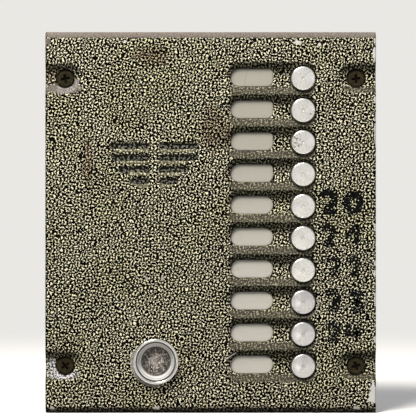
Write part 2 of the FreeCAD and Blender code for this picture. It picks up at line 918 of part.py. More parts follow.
def reader_contact():
    """Sprung centre contact: a disc on a stem with a groove for its clip."""
    neck = contact_stem_radius - contact_groove_depth
    end = clip_ring_y + clip_ring_thickness + contact_tail
    return turned(reader_x, reader_z, [
        (0, contact_y), (contact_radius, contact_y), (contact_radius, contact_back_y),
        (contact_stem_radius, contact_back_y), (contact_stem_radius, clip_ring_y),
        (neck, clip_ring_y), (neck, clip_ring_y + clip_ring_thickness),
        (contact_stem_radius, clip_ring_y + clip_ring_thickness),
        (contact_stem_radius, end), (0, end),
    ])


def contact_clip():
    """Retaining clip in the groove of the contact's stem, open on one side."""
    neck = contact_stem_radius - contact_groove_depth
    ring = tube(
        reader_x, reader_z, clip_ring_radius, neck + thread_clearance,
        clip_ring_y, clip_ring_y + clip_ring_thickness,
    )
    mouth = block(
        reader_x, reader_x + clip_ring_radius + cut_over,
        clip_ring_y - cut_over, clip_ring_y + clip_ring_thickness + cut_over,
        reader_z - neck, reader_z + neck,
    )
    return ring.cut(mouth)


def contact_spring():
    """Conical disc spring under the reader's contact."""
    inner = contact_stem_radius + contact_gap
    outer = contact_radius - contact_gap
    return turned(reader_x, reader_z, [
        (inner, contact_back_y), (inner + disc_spring_thickness, contact_back_y),
        (outer, contact_well_y - disc_spring_thickness), (outer, contact_well_y),
        (outer - disc_spring_thickness, contact_well_y),
        (inner, contact_back_y + disc_spring_thickness),
    ])


def reader_washer():
    """Washer between the panel's back and the reader's nut."""
    inner = barrel_radius + barrel_clearance
    outer = barrel_radius + washer_width
    return tube(reader_x, reader_z, outer, inner, face_back_y, face_back_y + washer_thickness)


def reader_nut():
    """Flat six-sided nut on the reader's barrel."""
    start = face_back_y + washer_thickness
    corner = nut_flats / math.sqrt(3)
    points = []
    for index in range(7):
        turn = math.radians(60 * index)
        x = reader_x + corner * math.cos(turn)
        points.append(V(x, start, reader_z + corner * math.sin(turn)))
    body = Part.Face(Part.makePolygon(points)).extrude(V(0, nut_height, 0))
    bore = barrel_radius + thread_clearance
    return body.cut(rod(reader_x, reader_z, bore, start - cut_over, start + nut_height + cut_over))


def knockout(middle, inward):
    """Ring groove around a disc that is knocked out for a conduit."""
    start = middle - inward * cut_over
    inner_radius = knockout_radius - knockout_groove
    length = knockout_groove_depth + cut_over
    outer = Part.makeCylinder(knockout_radius, length, start, inward)
    inner = Part.makeCylinder(inner_radius, length, start, inward)
    return outer.cut(inner)


def box_outline(corner, inset, start, end):
    """Outline of the box from above, open towards the panel, carried from start to end."""
    x = box_half_width - inset
    back = box_depth - inset
    bend = corner * (1 - math.sqrt(0.5))
    points = [
        V(-x, 0, start), V(-x, back - corner, start), V(-x + bend, back - bend, start),
        V(-x + corner, back, start), V(x - corner, back, start), V(x - bend, back - bend, start),
        V(x, back - corner, start), V(x, 0, start),
    ]
    edges = [
        Part.LineSegment(points[0], points[1]).toShape(),
        Part.Arc(points[1], points[2], points[3]).toShape(),
        Part.LineSegment(points[3], points[4]).toShape(),
        Part.Arc(points[4], points[5], points[6]).toShape(),
        Part.LineSegment(points[6], points[7]).toShape(),
        Part.LineSegment(points[7], points[0]).toShape(),
    ]
    return Part.Face(Part.Wire(edges)).extrude(V(0, 0, end - start))


def box_slice(x0, x1):
    """Part of the box's folded sheet between two lines across it, without its ends."""
    half = box_half_height - box_wall
    inner = box_outline(box_corner - box_wall, box_wall, -half - cut_over, half + cut_over)
    mouth = block(
        box_wall - box_half_width, box_half_width - box_wall,
        -cut_over, box_corner, -half - cut_over, half + cut_over,
    )
    shell = box_outline(box_corner, 0, -half, half).cut([inner, mouth])
    return shell.common(block(x0, x1, -cut_over, box_depth + cut_over, -half, half))


def box_back():
    """Flat back of the box, with the holes for the wall screws and the cable's grommet."""
    reach = box_half_width - box_corner
    cuts = []
    inner_back = box_depth - box_wall - cut_over
    outer_back = box_depth + cut_over
    for x in (-box_hole_spacing_x / 2, box_hole_spacing_x / 2):
        for z in (-box_hole_spacing_z / 2, box_hole_spacing_z / 2):
            cuts.append(rod(x, z, box_hole_radius, inner_back, outer_back))
    cuts.append(rod(0, grommet_height, grommet_hole_radius, inner_back, outer_back))
    return box_slice(-reach, reach).cut(cuts)


def box_side(side):
    """Left or right side of the box with its bend to the back and two knock-outs."""
    near, far = side * (box_half_width - box_corner), side * (box_half_width + cut_over)
    body = box_slice(min(near, far), max(near, far))
    cuts = []
    for z in (-knockout_offset, knockout_offset):
        middle = V(side * box_half_width, box_depth / 2, z)
        cuts.append(knockout(middle, V(-side, 0, 0)))
    return body.cut(cuts)


def box_ears():
    """Four tabs welded inside the box's mouth, with the threads of the fixing screws."""
    ears = []
    wall = box_half_width - box_wall
    for x, z in fixing_places:
        near = fixing_x - ear_inner
        x0, x1 = (near, wall) if x > 0 else (-wall, -near)
        lower, upper = z - ear_half_height, z + ear_half_height
        ear = block(x0, x1, ear_setback, ear_setback + ear_thickness, lower, upper)
        thread = rod(x, z, fixing_radius + thread_clearance, -cut_over, fixing_length)
        ears.append(ear.cut(thread))
    return Part.makeCompound(ears)


def box_end(end):
    """Top or bottom of the box, welded to its back and sides, with two knock-outs."""
    outer = end * box_half_height
    inner = end * (box_half_height - box_wall)
    body = box_outline(box_corner, 0, min(outer, inner), max(outer, inner))
    cuts = []
    for x in (-knockout_offset, knockout_offset):
        cuts.append(knockout(V(x, box_depth / 2, outer), V(0, 0, -end)))
    return body.cut(cuts)


def cable_grommet():
    """Rubber grommet in the box's back, with the bore for the cable."""
    bore = grommet_bore_radius
    waist = grommet_hole_radius - grommet_clearance
    lip = grommet_hole_radius + grommet_lip
    inner_y = box_depth - box_wall
    return turned(0, grommet_height, [
        (bore, inner_y - grommet_lip_thickness), (lip, inner_y - grommet_lip_thickness),
        (lip, inner_y), (waist, inner_y), (waist, box_depth), (lip, box_depth),
        (lip - grommet_lip_thickness / 2, box_depth + grommet_lip_thickness),
        (bore, box_depth + grommet_lip_thickness),
    ])


def build_parts():
    """Every sub-part by the name of its node."""
    parts = {
        "front_panel": front_panel(),
        "panel_gasket": panel_gasket(),
        "fixing_screws": fixing_screws(),
        "name_cards": name_cards(),
        "button_carrier": button_carrier(),
        "carrier_screws": carrier_screws(),
        "key_mat": key_mat(),
        "circuit_board": circuit_board(),
        "board_screws": board_screws(),
        "label_lamps": label_lamps(),
        "amplifier_chip": chip(chip_spacing / 2),
        "controller_chip": chip(-chip_spacing / 2),
        "capacitors": capacitors(),
        "terminal_block": terminal_block(),
        "terminal_screws": terminal_screws(),
        "speaker_cloth": speaker_cloth(),
        "speaker_gasket": speaker_gasket(),
        "speaker_frame": speaker_frame(),
        "speaker_magnet": speaker_magnet(),
        "speaker_cone": speaker_cone(),
        "speaker_clips": speaker_clips(),
        "clip_screws": clip_screws(),
        "microphone": microphone(),
        "microphone_boot": microphone_boot(),
        "reader_bezel": reader_bezel(),
        "reader_insulator": reader_insulator(),
        "reader_contact": reader_contact(),
        "contact_clip": contact_clip(),
        "contact_spring": contact_spring(),
        "reader_washer": reader_washer(),
        "reader_nut": reader_nut(),
        "box_back": box_back(),
        "box_left": box_side(-1),
        "box_right": box_side(1),
        "box_ears": box_ears(),
        "box_top": box_end(1),
        "box_bottom": box_end(-1),
        "cable_grommet": cable_grommet(),
    }
    for row, z in enumerate(row_heights, start=1):
        parts[f"call_button_{row:02d}"] = call_button(z)
        parts[f"name_window_{row:02d}"] = name_window(z)
    return parts


def main():
    """Write one file for each sub-part."""
    os.makedirs("parts", exist_ok=True)
    for name, shape in build_parts().items():
        shape.exportStep(f"parts/{name}.step")


main()
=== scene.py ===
"""Entrance call panel dressed for the camera: veined cast front, turned buttons, milky name windows.

Sizes are in millimetres, as in the part's own source, and become metres when a mesh is made.
+Z is up, +X is right as a caller sees it, -Y points out of the wall, and the wall is at y = 0.
"""
import logging
import math
from collections.abc import Sequence
from dataclasses import dataclass, field
from enum import Enum
from functools import cached_property

import bpy
import numpy as np
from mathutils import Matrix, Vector
from mathutils.geometry import delaunay_2d_cdt


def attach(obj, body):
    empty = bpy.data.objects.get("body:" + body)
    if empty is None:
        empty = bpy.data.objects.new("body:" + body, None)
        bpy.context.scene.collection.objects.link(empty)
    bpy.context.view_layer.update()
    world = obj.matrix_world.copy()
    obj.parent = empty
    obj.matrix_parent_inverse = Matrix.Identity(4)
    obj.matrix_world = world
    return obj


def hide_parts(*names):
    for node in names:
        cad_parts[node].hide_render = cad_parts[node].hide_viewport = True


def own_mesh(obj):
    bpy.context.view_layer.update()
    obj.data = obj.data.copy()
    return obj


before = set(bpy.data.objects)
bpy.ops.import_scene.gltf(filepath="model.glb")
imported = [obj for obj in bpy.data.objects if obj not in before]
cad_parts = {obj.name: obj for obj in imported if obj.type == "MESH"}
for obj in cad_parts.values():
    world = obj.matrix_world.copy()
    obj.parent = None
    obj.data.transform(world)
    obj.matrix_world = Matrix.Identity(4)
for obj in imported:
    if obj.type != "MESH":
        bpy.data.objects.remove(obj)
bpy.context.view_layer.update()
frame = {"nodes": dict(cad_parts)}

log = logging.getLogger("call_panel")

MM = 0.001
ROW_PITCH = 17.0
ROWS = tuple((4.5 - row) * ROW_PITCH for row in range(10))

# Levels from the caller's side to the wall
FACE = -12.0
FLOOR = -9.8
FACE_BACK = -9.2
PAD = -7.0
CARRIER = -5.7
RIM = -1.0
BOARD = 4.25

# Columns and other places
BUTTON_X = 49.2
LANE_LEFT = 16.05
WINDOW_X = 22.2
GRILLE_X = -29.9
GRILLE_Z = 40.4
SPEAKER_Z = 33.0
MIC_Z = -30.0
READER_X = -29.1
READER_Z = -74.1
FIXING_X = 77.5
SLOT_PITCH = 6.25


def srgb(red: float, green: float, blue: float) -> tuple[float, float, float, float]:
    """Colour of 0 to 255 as the linear values that a shader works with.

    A part c of 0 to 1 becomes c / 12.92 up to 0.04045, and ((c + 0.055) / 1.055)^2.4 above.

    Args:
        red: red of 0 to 255.
        green: green of 0 to 255.
        blue: blue of 0 to 255.

    Returns:
        Linear red, green and blue, and an alpha of 1.
    """
    scaled = np.array([red, green, blue]) / 255
    linear = np.where(scaled <= 0.04045, scaled / 12.92, ((scaled + 0.055) / 1.055) ** 2.4)
    return (*[float(value) for value in linear], 1.0)


# Shader maths

@dataclass(frozen=True)
class Signal:
    """Output of a node; arithmetic on it adds Math nodes to its material."""

    board: "NodeBoard"
    socket: bpy.types.NodeSocket

    def _math(self, operation: str, first: "Signal | float", second: "Signal | float") -> "Signal":
        """Math node that works on two values."""
        return self.board.node("ShaderNodeMath", {"operation": operation}, {0: first, 1: second})

    def __add__(self, other: "Signal | float") -> "Signal":
        """Sum."""
        return self._math("ADD", self, other)

    def __radd__(self, other: float) -> "Signal":
        """Sum with a plain number first."""
        return self._math("ADD", other, self)

    def __sub__(self, other: "Signal | float") -> "Signal":
        """Difference."""
        return self._math("SUBTRACT", self, other)

    def __rsub__(self, other: float) -> "Signal":
        """Difference from a plain number."""
        return self._math("SUBTRACT", other, self)

    def __mul__(self, other: "Signal | float") -> "Signal":
        """Product."""
        return self._math("MULTIPLY", self, other)

    def __truediv__(self, other: "Signal | float") -> "Signal":
        """Quotient."""
        return self._math("DIVIDE", self, other)

    def __pow__(self, other: float) -> "Signal":
        """Power."""
        return self._math("POWER", self, other)

    def __abs__(self) -> "Signal":
        """Size without its sign."""
        return self._math("ABSOLUTE", self, 0.0)

    def sine(self) -> "Signal":
        """Sine of an angle in radians."""
        return self._math("SINE", self, 0.0)

    def fraction(self) -> "Signal":
        """Part after the decimal point."""
        return self._math("FRACT", self, 0.0)

    def at_least(self, other: "Signal | float") -> "Signal":
        """Larger of two values."""
        return self._math("MAXIMUM", self, other)

    def at_most(self, other: "Signal | float") -> "Signal":
        """Smaller of two values."""
        return self._math("MINIMUM", self, other)


Pair = tuple[float, float]
Triple = tuple[float, float, float]
Tone = Triple
Layer = tuple[Signal, Signal | Tone]


@dataclass(frozen=True)
class Wrinkle:
    """Sizes in millimetres of the paint's wrinkles, and how many directions they run in."""

    spacing: float = 1.28
    spread: float = 0.4
    drift: float = 2.1
    drift_period: float = 3.3
    waves: int = 11


WRINKLE = Wrinkle()


class NodeBoard:
    """Node tree of one material or world, written as expressions.

    Its places are object coordinates in millimetres.
    """

    def __init__(self, owner: bpy.types.Material | bpy.types.World) -> None:
        """Clears the owner's node tree.

        Args:
            owner: material or world whose nodes are made here.
        """
        owner.use_nodes = True
        self.tree = owner.node_tree
        self.tree.nodes.clear()

    def node(self, kind: str, settings: dict | None = None, inputs: dict | None = None,
             output: int | str = 0) -> Signal | None:
        """Adds one node.

        Args:
            kind: node type.
            settings: the node's own settings, set before its sockets.
            inputs: values or signals by socket name or number.
            output: the output socket to return.

        Returns:
            Signal from that output, or None from a node that has no output.
        """
        made = self.tree.nodes.new(kind)
        for name, value in (settings or {}).items():
            setattr(made, name, value)
        for key, value in (inputs or {}).items():
            if isinstance(value, Signal):
                self.tree.links.new(value.socket, made.inputs[key])
            else:
                made.inputs[key].default_value = value
        return Signal(self, made.outputs[output]) if len(made.outputs) else None

    def parts(self, vector: Signal) -> tuple[Signal, Signal, Signal]:
        """The three parts of a vector."""
        split = self.node("ShaderNodeSeparateXYZ", inputs={0: vector})
        return tuple(Signal(self, socket) for socket in split.socket.node.outputs)

    @cached_property
    def place(self) -> Signal:
        """Place as a vector."""
        raw = self.node("ShaderNodeTexCoord", output="Object")
        return self.node("ShaderNodeVectorMath", {"operation": "SCALE"}, {0: raw, "Scale": 1 / MM})

    @cached_property
    def axes(self) -> tuple[Signal, Signal, Signal]:
        """Place across, place out of the wall and place up."""
        return self.parts(self.place)

    @cached_property
    def above_row(self) -> Signal:
        """Height above the middle of the nearest row."""
        return ((self.axes[2] / ROW_PITCH).fraction() - 0.5) * ROW_PITCH

    @cached_property
    def button_radius(self) -> Signal:
        """Distance from the nearest button's axis."""
        return ((self.axes[0] - BUTTON_X) ** 2 + self.above_row ** 2) ** 0.5

    @cached_property
    def screw_radius(self) -> Signal:
        """Distance from the nearest fixing screw's axis."""
        x, _, z = self.axes
        return ((abs(x) - FIXING_X) ** 2 + (abs(z) - ROWS[0]) ** 2) ** 0.5

    def radius(self, middle: Pair) -> Signal:
        """Distance from a point of the front."""
        x, _, z = self.axes
        return ((x - middle[0]) ** 2 + (z - middle[1]) ** 2) ** 0.5

    def stretched(self, scale: Triple | None) -> Signal:
        """Place with each part multiplied by its own number.

        Args:
            scale: the three numbers, or None for the place as it is.

        Returns:
            The vector.
        """
        if scale is None:
            return self.place
        return self.node("ShaderNodeVectorMath", {"operation": "MULTIPLY"}, {0: self.place, 1: scale})

    def noise(self, period: float, detail: float = 0.0, rough: float = 0.5, bend: float = 0.0,
              scale: Triple | None = None) -> Signal:
        """Smooth noise of 0 to 1.

        Args:
            period: size of the noise's cells in millimetres.
            detail: octaves of finer noise.
            rough: strength of those octaves.
            bend: how far the noise distorts itself.
            scale: numbers that the three parts of the place are multiplied by.

        Returns:
            The noise's value.
        """
        return self.node("ShaderNodeTexNoise", {"noise_dimensions": "3D"},
                         {"Vector": self.stretched(scale), "Scale": 1 / period, "Detail": detail,
                          "Roughness": rough, "Distortion": bend})

    def cells(self, period: float) -> Signal:
        """Random value of the nearest of scattered cells.

        Args:
            period: size of the cells in millimetres.

        Returns:
            A value of 0 to 1.
        """
        colour = self.node("ShaderNodeTexVoronoi", {"voronoi_dimensions": "3D"},
                           {"Vector": self.place, "Scale": 1 / period}, "Color")
        return self.parts(colour)[0]

    def step(self, value: Signal, low: float | Signal, high: float | Signal) -> Signal:
        """Smooth step from 0 at low to 1 at high."""
        return self.node("ShaderNodeMapRange", {"interpolation_type": "SMOOTHSTEP"},
                         {"Value": value, "From Min": low, "From Max": high})

    def layered(self, colour: Signal | Tone, *layers: Layer) -> Signal:
        """Colour with layers over it.

        Args:
            colour: signal or tone of 0 to 255 at the bottom.
            layers: (share, colour) of each layer from the bottom up.

        Returns:
            The colour on top.
        """
        for share, over in layers:
            pair = [tone if isinstance(tone, Signal) else srgb(*tone) for tone in (colour, over)]
            colour = self.node("ShaderNodeMix", {"data_type": "RGBA"},
                               {0: share, 6: pair[0], 7: pair[1]}, 2)
        return colour

    def wrinkle(self, scale: Triple | None = None) -> Signal:
        """Height of the wrinkled paint: waves of about one length that run in all directions.

        It is the sum of sin(2 pi (d . p) / length + phase) over the directions d, where the
        place p first wanders by a smooth noise.

        Args:
            scale: numbers that the three parts of the place are multiplied by.

        Returns:
            The height, about -5 to 5.
        """
        place = self.stretched(scale)
        cloud = self.node("ShaderNodeTexNoise", None,
                          {"Vector": place, "Scale": 1 / WRINKLE.drift_period, "Detail": 0.0}, "Color")
        drift = self.node("ShaderNodeVectorMath", {"operation": "MULTIPLY"},
                          {0: cloud, 1: (WRINKLE.drift,) * 3})
        wandered = self.node("ShaderNodeVectorMath", {"operation": "ADD"}, {0: place, 1: drift})
        height = 0.0
        for wave in range(WRINKLE.waves):
            turn = math.pi * (wave + 0.3 * math.sin(5.0 * wave)) / WRINKLE.waves
            tilt = 0.6 * math.sin(2.4 * wave + 0.7)
            length = WRINKLE.spacing * (1.0 + WRINKLE.spread * math.sin(3.1 * wave + 1.0))
            turns = 2 * math.pi / (length * math.hypot(1.0, tilt))
            direction = (turns * math.cos(turn), turns * tilt, turns * math.sin(turn))
            along = self.node("ShaderNodeVectorMath", {"operation": "DOT_PRODUCT"},
                              {0: wandered, 1: direction}, "Value")
            height = (along + 2.0 * wave).sine() + height
        return height

    def patch(self, spots: Sequence[tuple[float, float, float, float]]) -> Signal:
        """Mask of soft ellipses: 1 at each middle, 0 on the outline, below 0 outside.

        Args:
            spots: (x, z, half width, half height) of each ellipse.

        Returns:
            The largest of the ellipses' values, 1 - (dx / a)^2 - (dz / b)^2.
        """
        x, _, z = self.axes
        whole = None
        for middle_x, middle_z, half_x, half_z in spots:
            across = (x - middle_x) / half_x
            up = (z - middle_z) / half_z
            spot = 1.0 - (across * across + up * up)
            whole = spot if whole is None else whole.at_least(spot)
        return whole

    def bump(self, height: Signal, depth: float, strength: float = 1.0) -> Signal:
        """Relief of a height of 0 to 1, in millimetres from low to high."""
        return self.node("ShaderNodeBump", None,
                         {"Height": height, "Distance": depth * MM, "Strength": strength})

    def seen(self) -> Signal:
        """1 for rays from the camera, from a mirror or through glass, else 0.

        Returns:
            Mask of those rays.
        """
        paths = self.node("ShaderNodeLightPath").socket.node.outputs
        seen = Signal(self, paths["Is Camera Ray"])
        for name in ("Is Glossy Ray", "Is Transmission Ray"):
            seen = seen.at_least(Signal(self, paths[name]))
        return seen


# Finishes

@dataclass(frozen=True)
class Finish:
    """Look of a surface; each kind of finish gives its own shader sockets."""

    name: str

    def sockets(self, board: NodeBoard) -> dict:
        """Shader sockets.

        Args:
            board: node board of the material.

        Returns:
            Values and signals by socket name.
        """
        raise NotImplementedError

    def material(self) -> bpy.types.Material:
        """Builds the material.

        Returns:
            The finished material.
        """
        material = bpy.data.materials.new(self.name)
        board = NodeBoard(material)
        shader = board.node("ShaderNodeBsdfPrincipled", None, self.sockets(board))
        board.node("ShaderNodeOutputMaterial", None, {"Surface": shader})
        return material


class Texture(Enum):
    """Small-scale texture of a plain finish."""

    MOULDED = "fine even grain of a mould"
    RUBBER = "soft mottled grain with pale bloom"
    SHEET = "spangled zinc crystals"
    PLATED = "faint turning lines under plating"
    FIBRE = "felted paper fibres"
    BRUSHED = "long rolled lines"
    SINTERED = "grainy fired powder"
    TRACKS = "laminate with tinned tracks"


@dataclass(frozen=True)
class PlainFinish(Finish):
    """Finish of an inner part: two tones, their texture and its gloss."""

    tone: Tone
    other: Tone
    texture: Texture
    roughness: float = 0.5
    metallic: float = 0.0
    grain: float = 1.0
    relief: float = 0.02

    @staticmethod
    def _tracks(board: NodeBoard) -> Signal:
        """Lanes of tinned track that run up in some areas and across in the others.

        Args:
            board: node board of the material.

        Returns:
            Mask of the tracks.
        """
        x, _, z = board.axes
        wander = board.noise(14) * 9.0
        area = board.step(board.noise(19), 0.46, 0.5)
        lanes = [((x + wander) / 2.6).fraction(), ((z + wander) / 3.4).fraction()]
        up, across = (
            board.step(lane, 0.42, 0.5) * (1.0 - board.step(lane, 0.92, 1.0)) for lane in lanes
        )
        return up * area + across * (1.0 - area)

    def _pattern(self, board: NodeBoard) -> Signal:
        """Value of 0 to 1 that carries the texture.

        Args:
            board: node board of the material.

        Returns:
            The pattern.
        """
        grain = self.grain
        match self.texture:
            case Texture.SHEET:
                return board.cells(4 * grain) * 0.7 + board.noise(0.6 * grain, 2) * 0.3
            case Texture.SINTERED:
                return board.cells(0.5 * grain) * 0.6 + board.noise(3) * 0.4
            case Texture.BRUSHED:
                return board.noise(grain, 3, 0.6, scale=(0.12, 0.12, 4.0))
            case Texture.FIBRE:
                return board.noise(0.5 * grain, 4, 0.7, 0.8, (0.5, 1.0, 2.2))
            case Texture.PLATED:
                return board.noise(2.5 * grain, 3, 0.6) * 0.6 + board.noise(0.25 * grain, 1) * 0.4
            case Texture.TRACKS:
                return self._tracks(board)
            case Texture.RUBBER:
                bloom = board.step(board.noise(6 * grain, 3, 0.6), 0.5, 0.75)
                return bloom * 0.5 + board.noise(0.5 * grain, 2) * 0.5
            case Texture.MOULDED:
                return board.noise(0.35 * grain, 2) * 0.6 + board.noise(9 * grain, 2) * 0.4

    def sockets(self, board: NodeBoard) -> dict:
        """Shader sockets of two tones under one texture.

        Args:
            board: node board of the material.

        Returns:
            Values and signals by socket name.
        """
        pattern = self._pattern(board)
        return {
            "Base Color": board.layered(self.tone, (board.step(pattern, 0.2, 0.8), self.other)),
            "Roughness": self.roughness * 0.85 + pattern * self.roughness * 0.3,
            "Metallic": self.metallic,
            "Normal": board.bump(pattern, self.relief),
        }


@dataclass(frozen=True)
class WornRing:
    """Paint rubbed off one side of a ring round an opening, in millimetres.

    The low and high tone follow the fine noise between the two levels, or the wrinkles.
    """

    middle: Pair
    near: float
    far: float
    lean: Pair
    low: Tone = (118, 110, 105)
    high: Tone = (184, 179, 174)
    levels: Pair = (0.4, 0.65)
    wrinkled: bool = False


@dataclass(frozen=True)
class VeinedPaint(Finish):
    """Stoved wrinkle paint: cream veins on a dark ground, worn where hands and weather reach.

    Chips, stains and rubs are ellipses: x, z, half width and half height in millimetres.
    """

    name: str = "veined_paint"
    vein: Tone = (252, 246, 218)
    vein_shade: Tone = (230, 224, 188)
    olive: Tone = (228, 224, 180)
    # Vein tone of the troughs' lower sides: painted sheen with dust.
    vein_dust_and_sheen: Tone = (106, 101, 87)
    ground: Tone = (3, 3, 2)
    # Ground tone of the troughs' lower sides: painted sheen with dust.
    ground_dust_and_sheen: Tone = (66, 62, 52)
    # Painted shade of the troughs' upper sides.
    painted_eave_shade: Tone = (14, 14, 6)
    # Painted shadow in the gaps round the buttons and the screws.
    painted_gap_shadow: Tone = (4, 4, 3)
    rust: Tone = (150, 108, 78)
    dust_tones: tuple[Tone, Tone] = ((96, 88, 82), (120, 112, 105))
    # Painted shade of the bottom bend and the left edge.
    painted_edge_shade: Tone = (9, 8, 6)
    chipped: Tone = (212, 210, 206)
    rubbed: tuple[Tone, Tone] = ((66, 63, 62), (212, 210, 213))
    # Painted highlight on the grille slots' lower lips.
    lip_highlight: Tone = (126, 121, 96)
    scratched: Tone = (226, 224, 216)
    vein_level: float = 1.8
    gloss_level: float = 0.03
    scratch_place: Pair = (10.6, -71.3)
    chips: tuple = (
        (88.0, 89.2, 2.0, 4.6), (88.0, 96.4, 1.6, 1.8), (88.1, 65.0, 1.3, 2.8),
        (88.1, 49.0, 1.3, 10.8), (86.9, -91.0, 2.6, 6.4), (86.0, -94.2, 3.2, 2.6),
        (46.3, 95.6, 2.7, 1.3), (-45.5, 96.2, 1.0, 0.7), (57.9, 94.5, 1.0, 1.1),
        (-28.7, -98.9, 2.4, 1.1), (77.4, -98.9, 2.2, 1.0), (-84.1, -99.0, 1.6, 0.9),
        (88.0, -2.8, 1.4, 2.4), (88.0, -21.7, 1.4, 1.6), (87.8, -27.0, 1.5, 2.1),
        (88.0, -40.7, 1.4, 4.0), (88.0, -55.0, 1.3, 1.2), (87.8, -62.0, 1.6, 2.2),
    )
    stains: tuple = (
        (1.5, 49.8, 9.0, 17.0), (-65.2, 31.5, 4.0, 17.0), (-30.6, 89.0, 12.0, 7.0),
        (8.4, 47.0, 3.0, 10.0), (-86.2, 78.6, 3.6, 4.6), (-72.0, 69.5, 5.0, 3.0),
    )
    rubs: tuple = (
        (-79.0, 71.2, 11.5, 3.4), (-86.8, 95.8, 2.0, 2.0), (-79.0, -80.6, 10.5, 3.6),
        (-84.5, -76.0, 3.4, 4.0),
    )
    rings: tuple[WornRing, ...] = (
        WornRing((-FIXING_X, ROWS[0]), 5.4, 7.9, (0.45, -0.9), (84, 79, 76), (150, 144, 141),
                 (0.36, 0.6)),
        WornRing((-FIXING_X, ROWS[-1]), 5.3, 6.7, (-0.3, -0.95), (84, 80, 78), (210, 208, 212),
                 (-1.2, -0.6), True),
        WornRing((READER_X, READER_Z), 12.1, 13.6, (-0.8, -0.6)),
        WornRing((BUTTON_X, ROWS[7]), 8.0, 8.5, (0.53, -0.45)),
        WornRing((BUTTON_X, ROWS[8]), 8.0, 8.2, (0.5, -0.4)),
        WornRing((BUTTON_X, ROWS[9]), 8.0, 8.2, (0.5, -0.4)),
    )

    @staticmethod
    def _scoop_sides(board: NodeBoard) -> tuple[Signal, Signal]:
        """Masks of the troughs' lower sides, greyed by painted sheen and dust, and of their upper sides,
        darkened by painted shade.

        Args:
            board: node board of the material.

        Returns:
            Masks of the ledge and of the eave.
        """
        x, y, z = board.axes
        middle, half = (BUTTON_X + LANE_LEFT) / 2, (BUTTON_X - LANE_LEFT) / 2
        beyond = (abs(x - middle) - half).at_least(0.0)
        lane = board.step((beyond ** 2 + (board.above_row * 0.8) ** 2) ** 0.5, 8.3, 7.3)
        lane = lane * board.step(abs(z), 85.6, 84.8)
        lowered = board.step(y, FACE + 0.15, FACE + 0.9) * board.step(abs(z), 94.0, 93.0)
        dip = lowered.at_least(lane)
        turn = (z / ROW_PITCH).fraction()
        return board.step(turn, 0.34, 0.16) * dip, board.step(turn, 0.56, 0.8) * dip

    @staticmethod
    def _gap_shadows(board: NodeBoard) -> Signal:
        """Mask of the painted shadow in the gaps round the buttons and the screws.

        Args:
            board: node board of the material.

        Returns:
            The mask.
        """
        last_row = board.step(abs(board.axes[2]), 84.8, 85.2) * 9.0
        return board.step((board.button_radius + last_row).at_most(board.screw_radius + 1.95), 7.5, 7.0)

    @staticmethod
    def _grille_lip_highlights(board: NodeBoard) -> Signal:
        """Mask of the painted highlight on the lower lips of the grille's slots.

        Args:
            board: node board of the material.

        Returns:
            The mask.
        """
        x, _, z = board.axes
        row = (z - GRILLE_Z - SLOT_PITCH * 0.5) / SLOT_PITCH
        across = abs(x - GRILLE_X)
        lip_highlight = board.step(abs(row.fraction() - 0.1), 0.2, 0.1)
        lip_highlight = lip_highlight * board.step(across + (GRILLE_Z - z) * 0.62, 23.5, 22.5)
        middle = GRILLE_Z - SLOT_PITCH * 1.65
        lip_highlight = lip_highlight * board.step(abs(z - middle), SLOT_PITCH * 2.1, SLOT_PITCH * 2.0)
        return lip_highlight * board.step(across, 2.2, 3.2)

    def _scratch(self, board: NodeBoard) -> Signal:
        """Mask of the one slanting scratch low on the face.

        Args:
            board: node board of the material.

        Returns:
            The mask.
        """
        x, _, z = board.axes
        across = x - self.scratch_place[0]
        above = (z - self.scratch_place[1]) - across * 0.6
        return board.step(abs(above), 0.42, 0.2) * board.step(abs(across), 3.3, 2.4)

    def _worn_rings(self, board: NodeBoard, fine: Signal, wrinkle: Signal) -> list[Layer]:
        """Layers of paint rubbed pale beside the screws, the reader and the lower buttons.

        Args:
            board: node board of the material.
            fine: fine noise that breaks the edges up.
            wrinkle: height of the wrinkles.

        Returns:
            Share and colour of each ring.
        """
        x, _, z = board.axes
        layers = []
        for ring in self.rings:
            radius = board.radius(ring.middle)
            side = (x - ring.middle[0]) * ring.lean[0] + (z - ring.middle[1]) * ring.lean[1]
            facing = board.step(side / radius, 0.15, 0.75)
            band = board.step(radius, ring.far + 0.5, ring.far - 0.4)
            band = band * board.step(radius, ring.near - 0.3, ring.near)
            worn = board.step(band * facing + (fine - 0.5) * 1.5, 0.4, 0.65)
            share = board.step(wrinkle if ring.wrinkled else fine, *ring.levels)
            layers.append((worn * 0.9, board.layered(ring.low, (share, ring.high))))
        return layers

    def sockets(self, board: NodeBoard) -> dict:
        """Shader sockets, with the colour laid from the ground up.

        Args:
            board: node board of the material.

        Returns:
            Values and signals by socket name.
        """
        x, y, z = board.axes
        fine = board.noise(0.6, 1.0, 0.5, 0.2)
        cloud = board.noise(14.0, 2.0)
        wrinkle = board.wrinkle()
        ledge, eave = self._scoop_sides(board)
        # gap: mask of the painted shadow round the buttons and the screws.
        gap = self._gap_shadows(board)
        threshold = self.vein_level - (cloud - 0.5) * 0.8
        # On the troughs' lower sides, painted sheen with dust turns veins and ground to a low-contrast
        # grey.
        spread = 0.05 + ledge * 1.5
        veins = board.step(wrinkle, threshold - spread, threshold + spread)
        olive = board.step(board.noise(24.0, 2.0), 0.46, 0.62)
        vein = board.layered(self.vein, (board.noise(0.8, 1.0), self.vein_shade),
                             (olive * 0.6, self.olive), (ledge * 0.85, self.vein_dust_and_sheen))
        ground = board.layered(self.ground, (ledge * 0.85, self.ground_dust_and_sheen))

        stain = board.step(board.patch(self.stains) + (cloud - 0.5), 0.0, 0.9)
        dust = board.step(z, 97.6, 98.6)
        dusty = board.layered(self.dust_tones[0], (board.step(fine, 0.36, 0.62), self.dust_tones[1]))
        # Painted shade darkens the bottom bend and the left edge.
        painted_edge_shade = board.step(z, -97.6, -99.4).at_least(board.step(x, -86.9, -87.6) * 0.62)

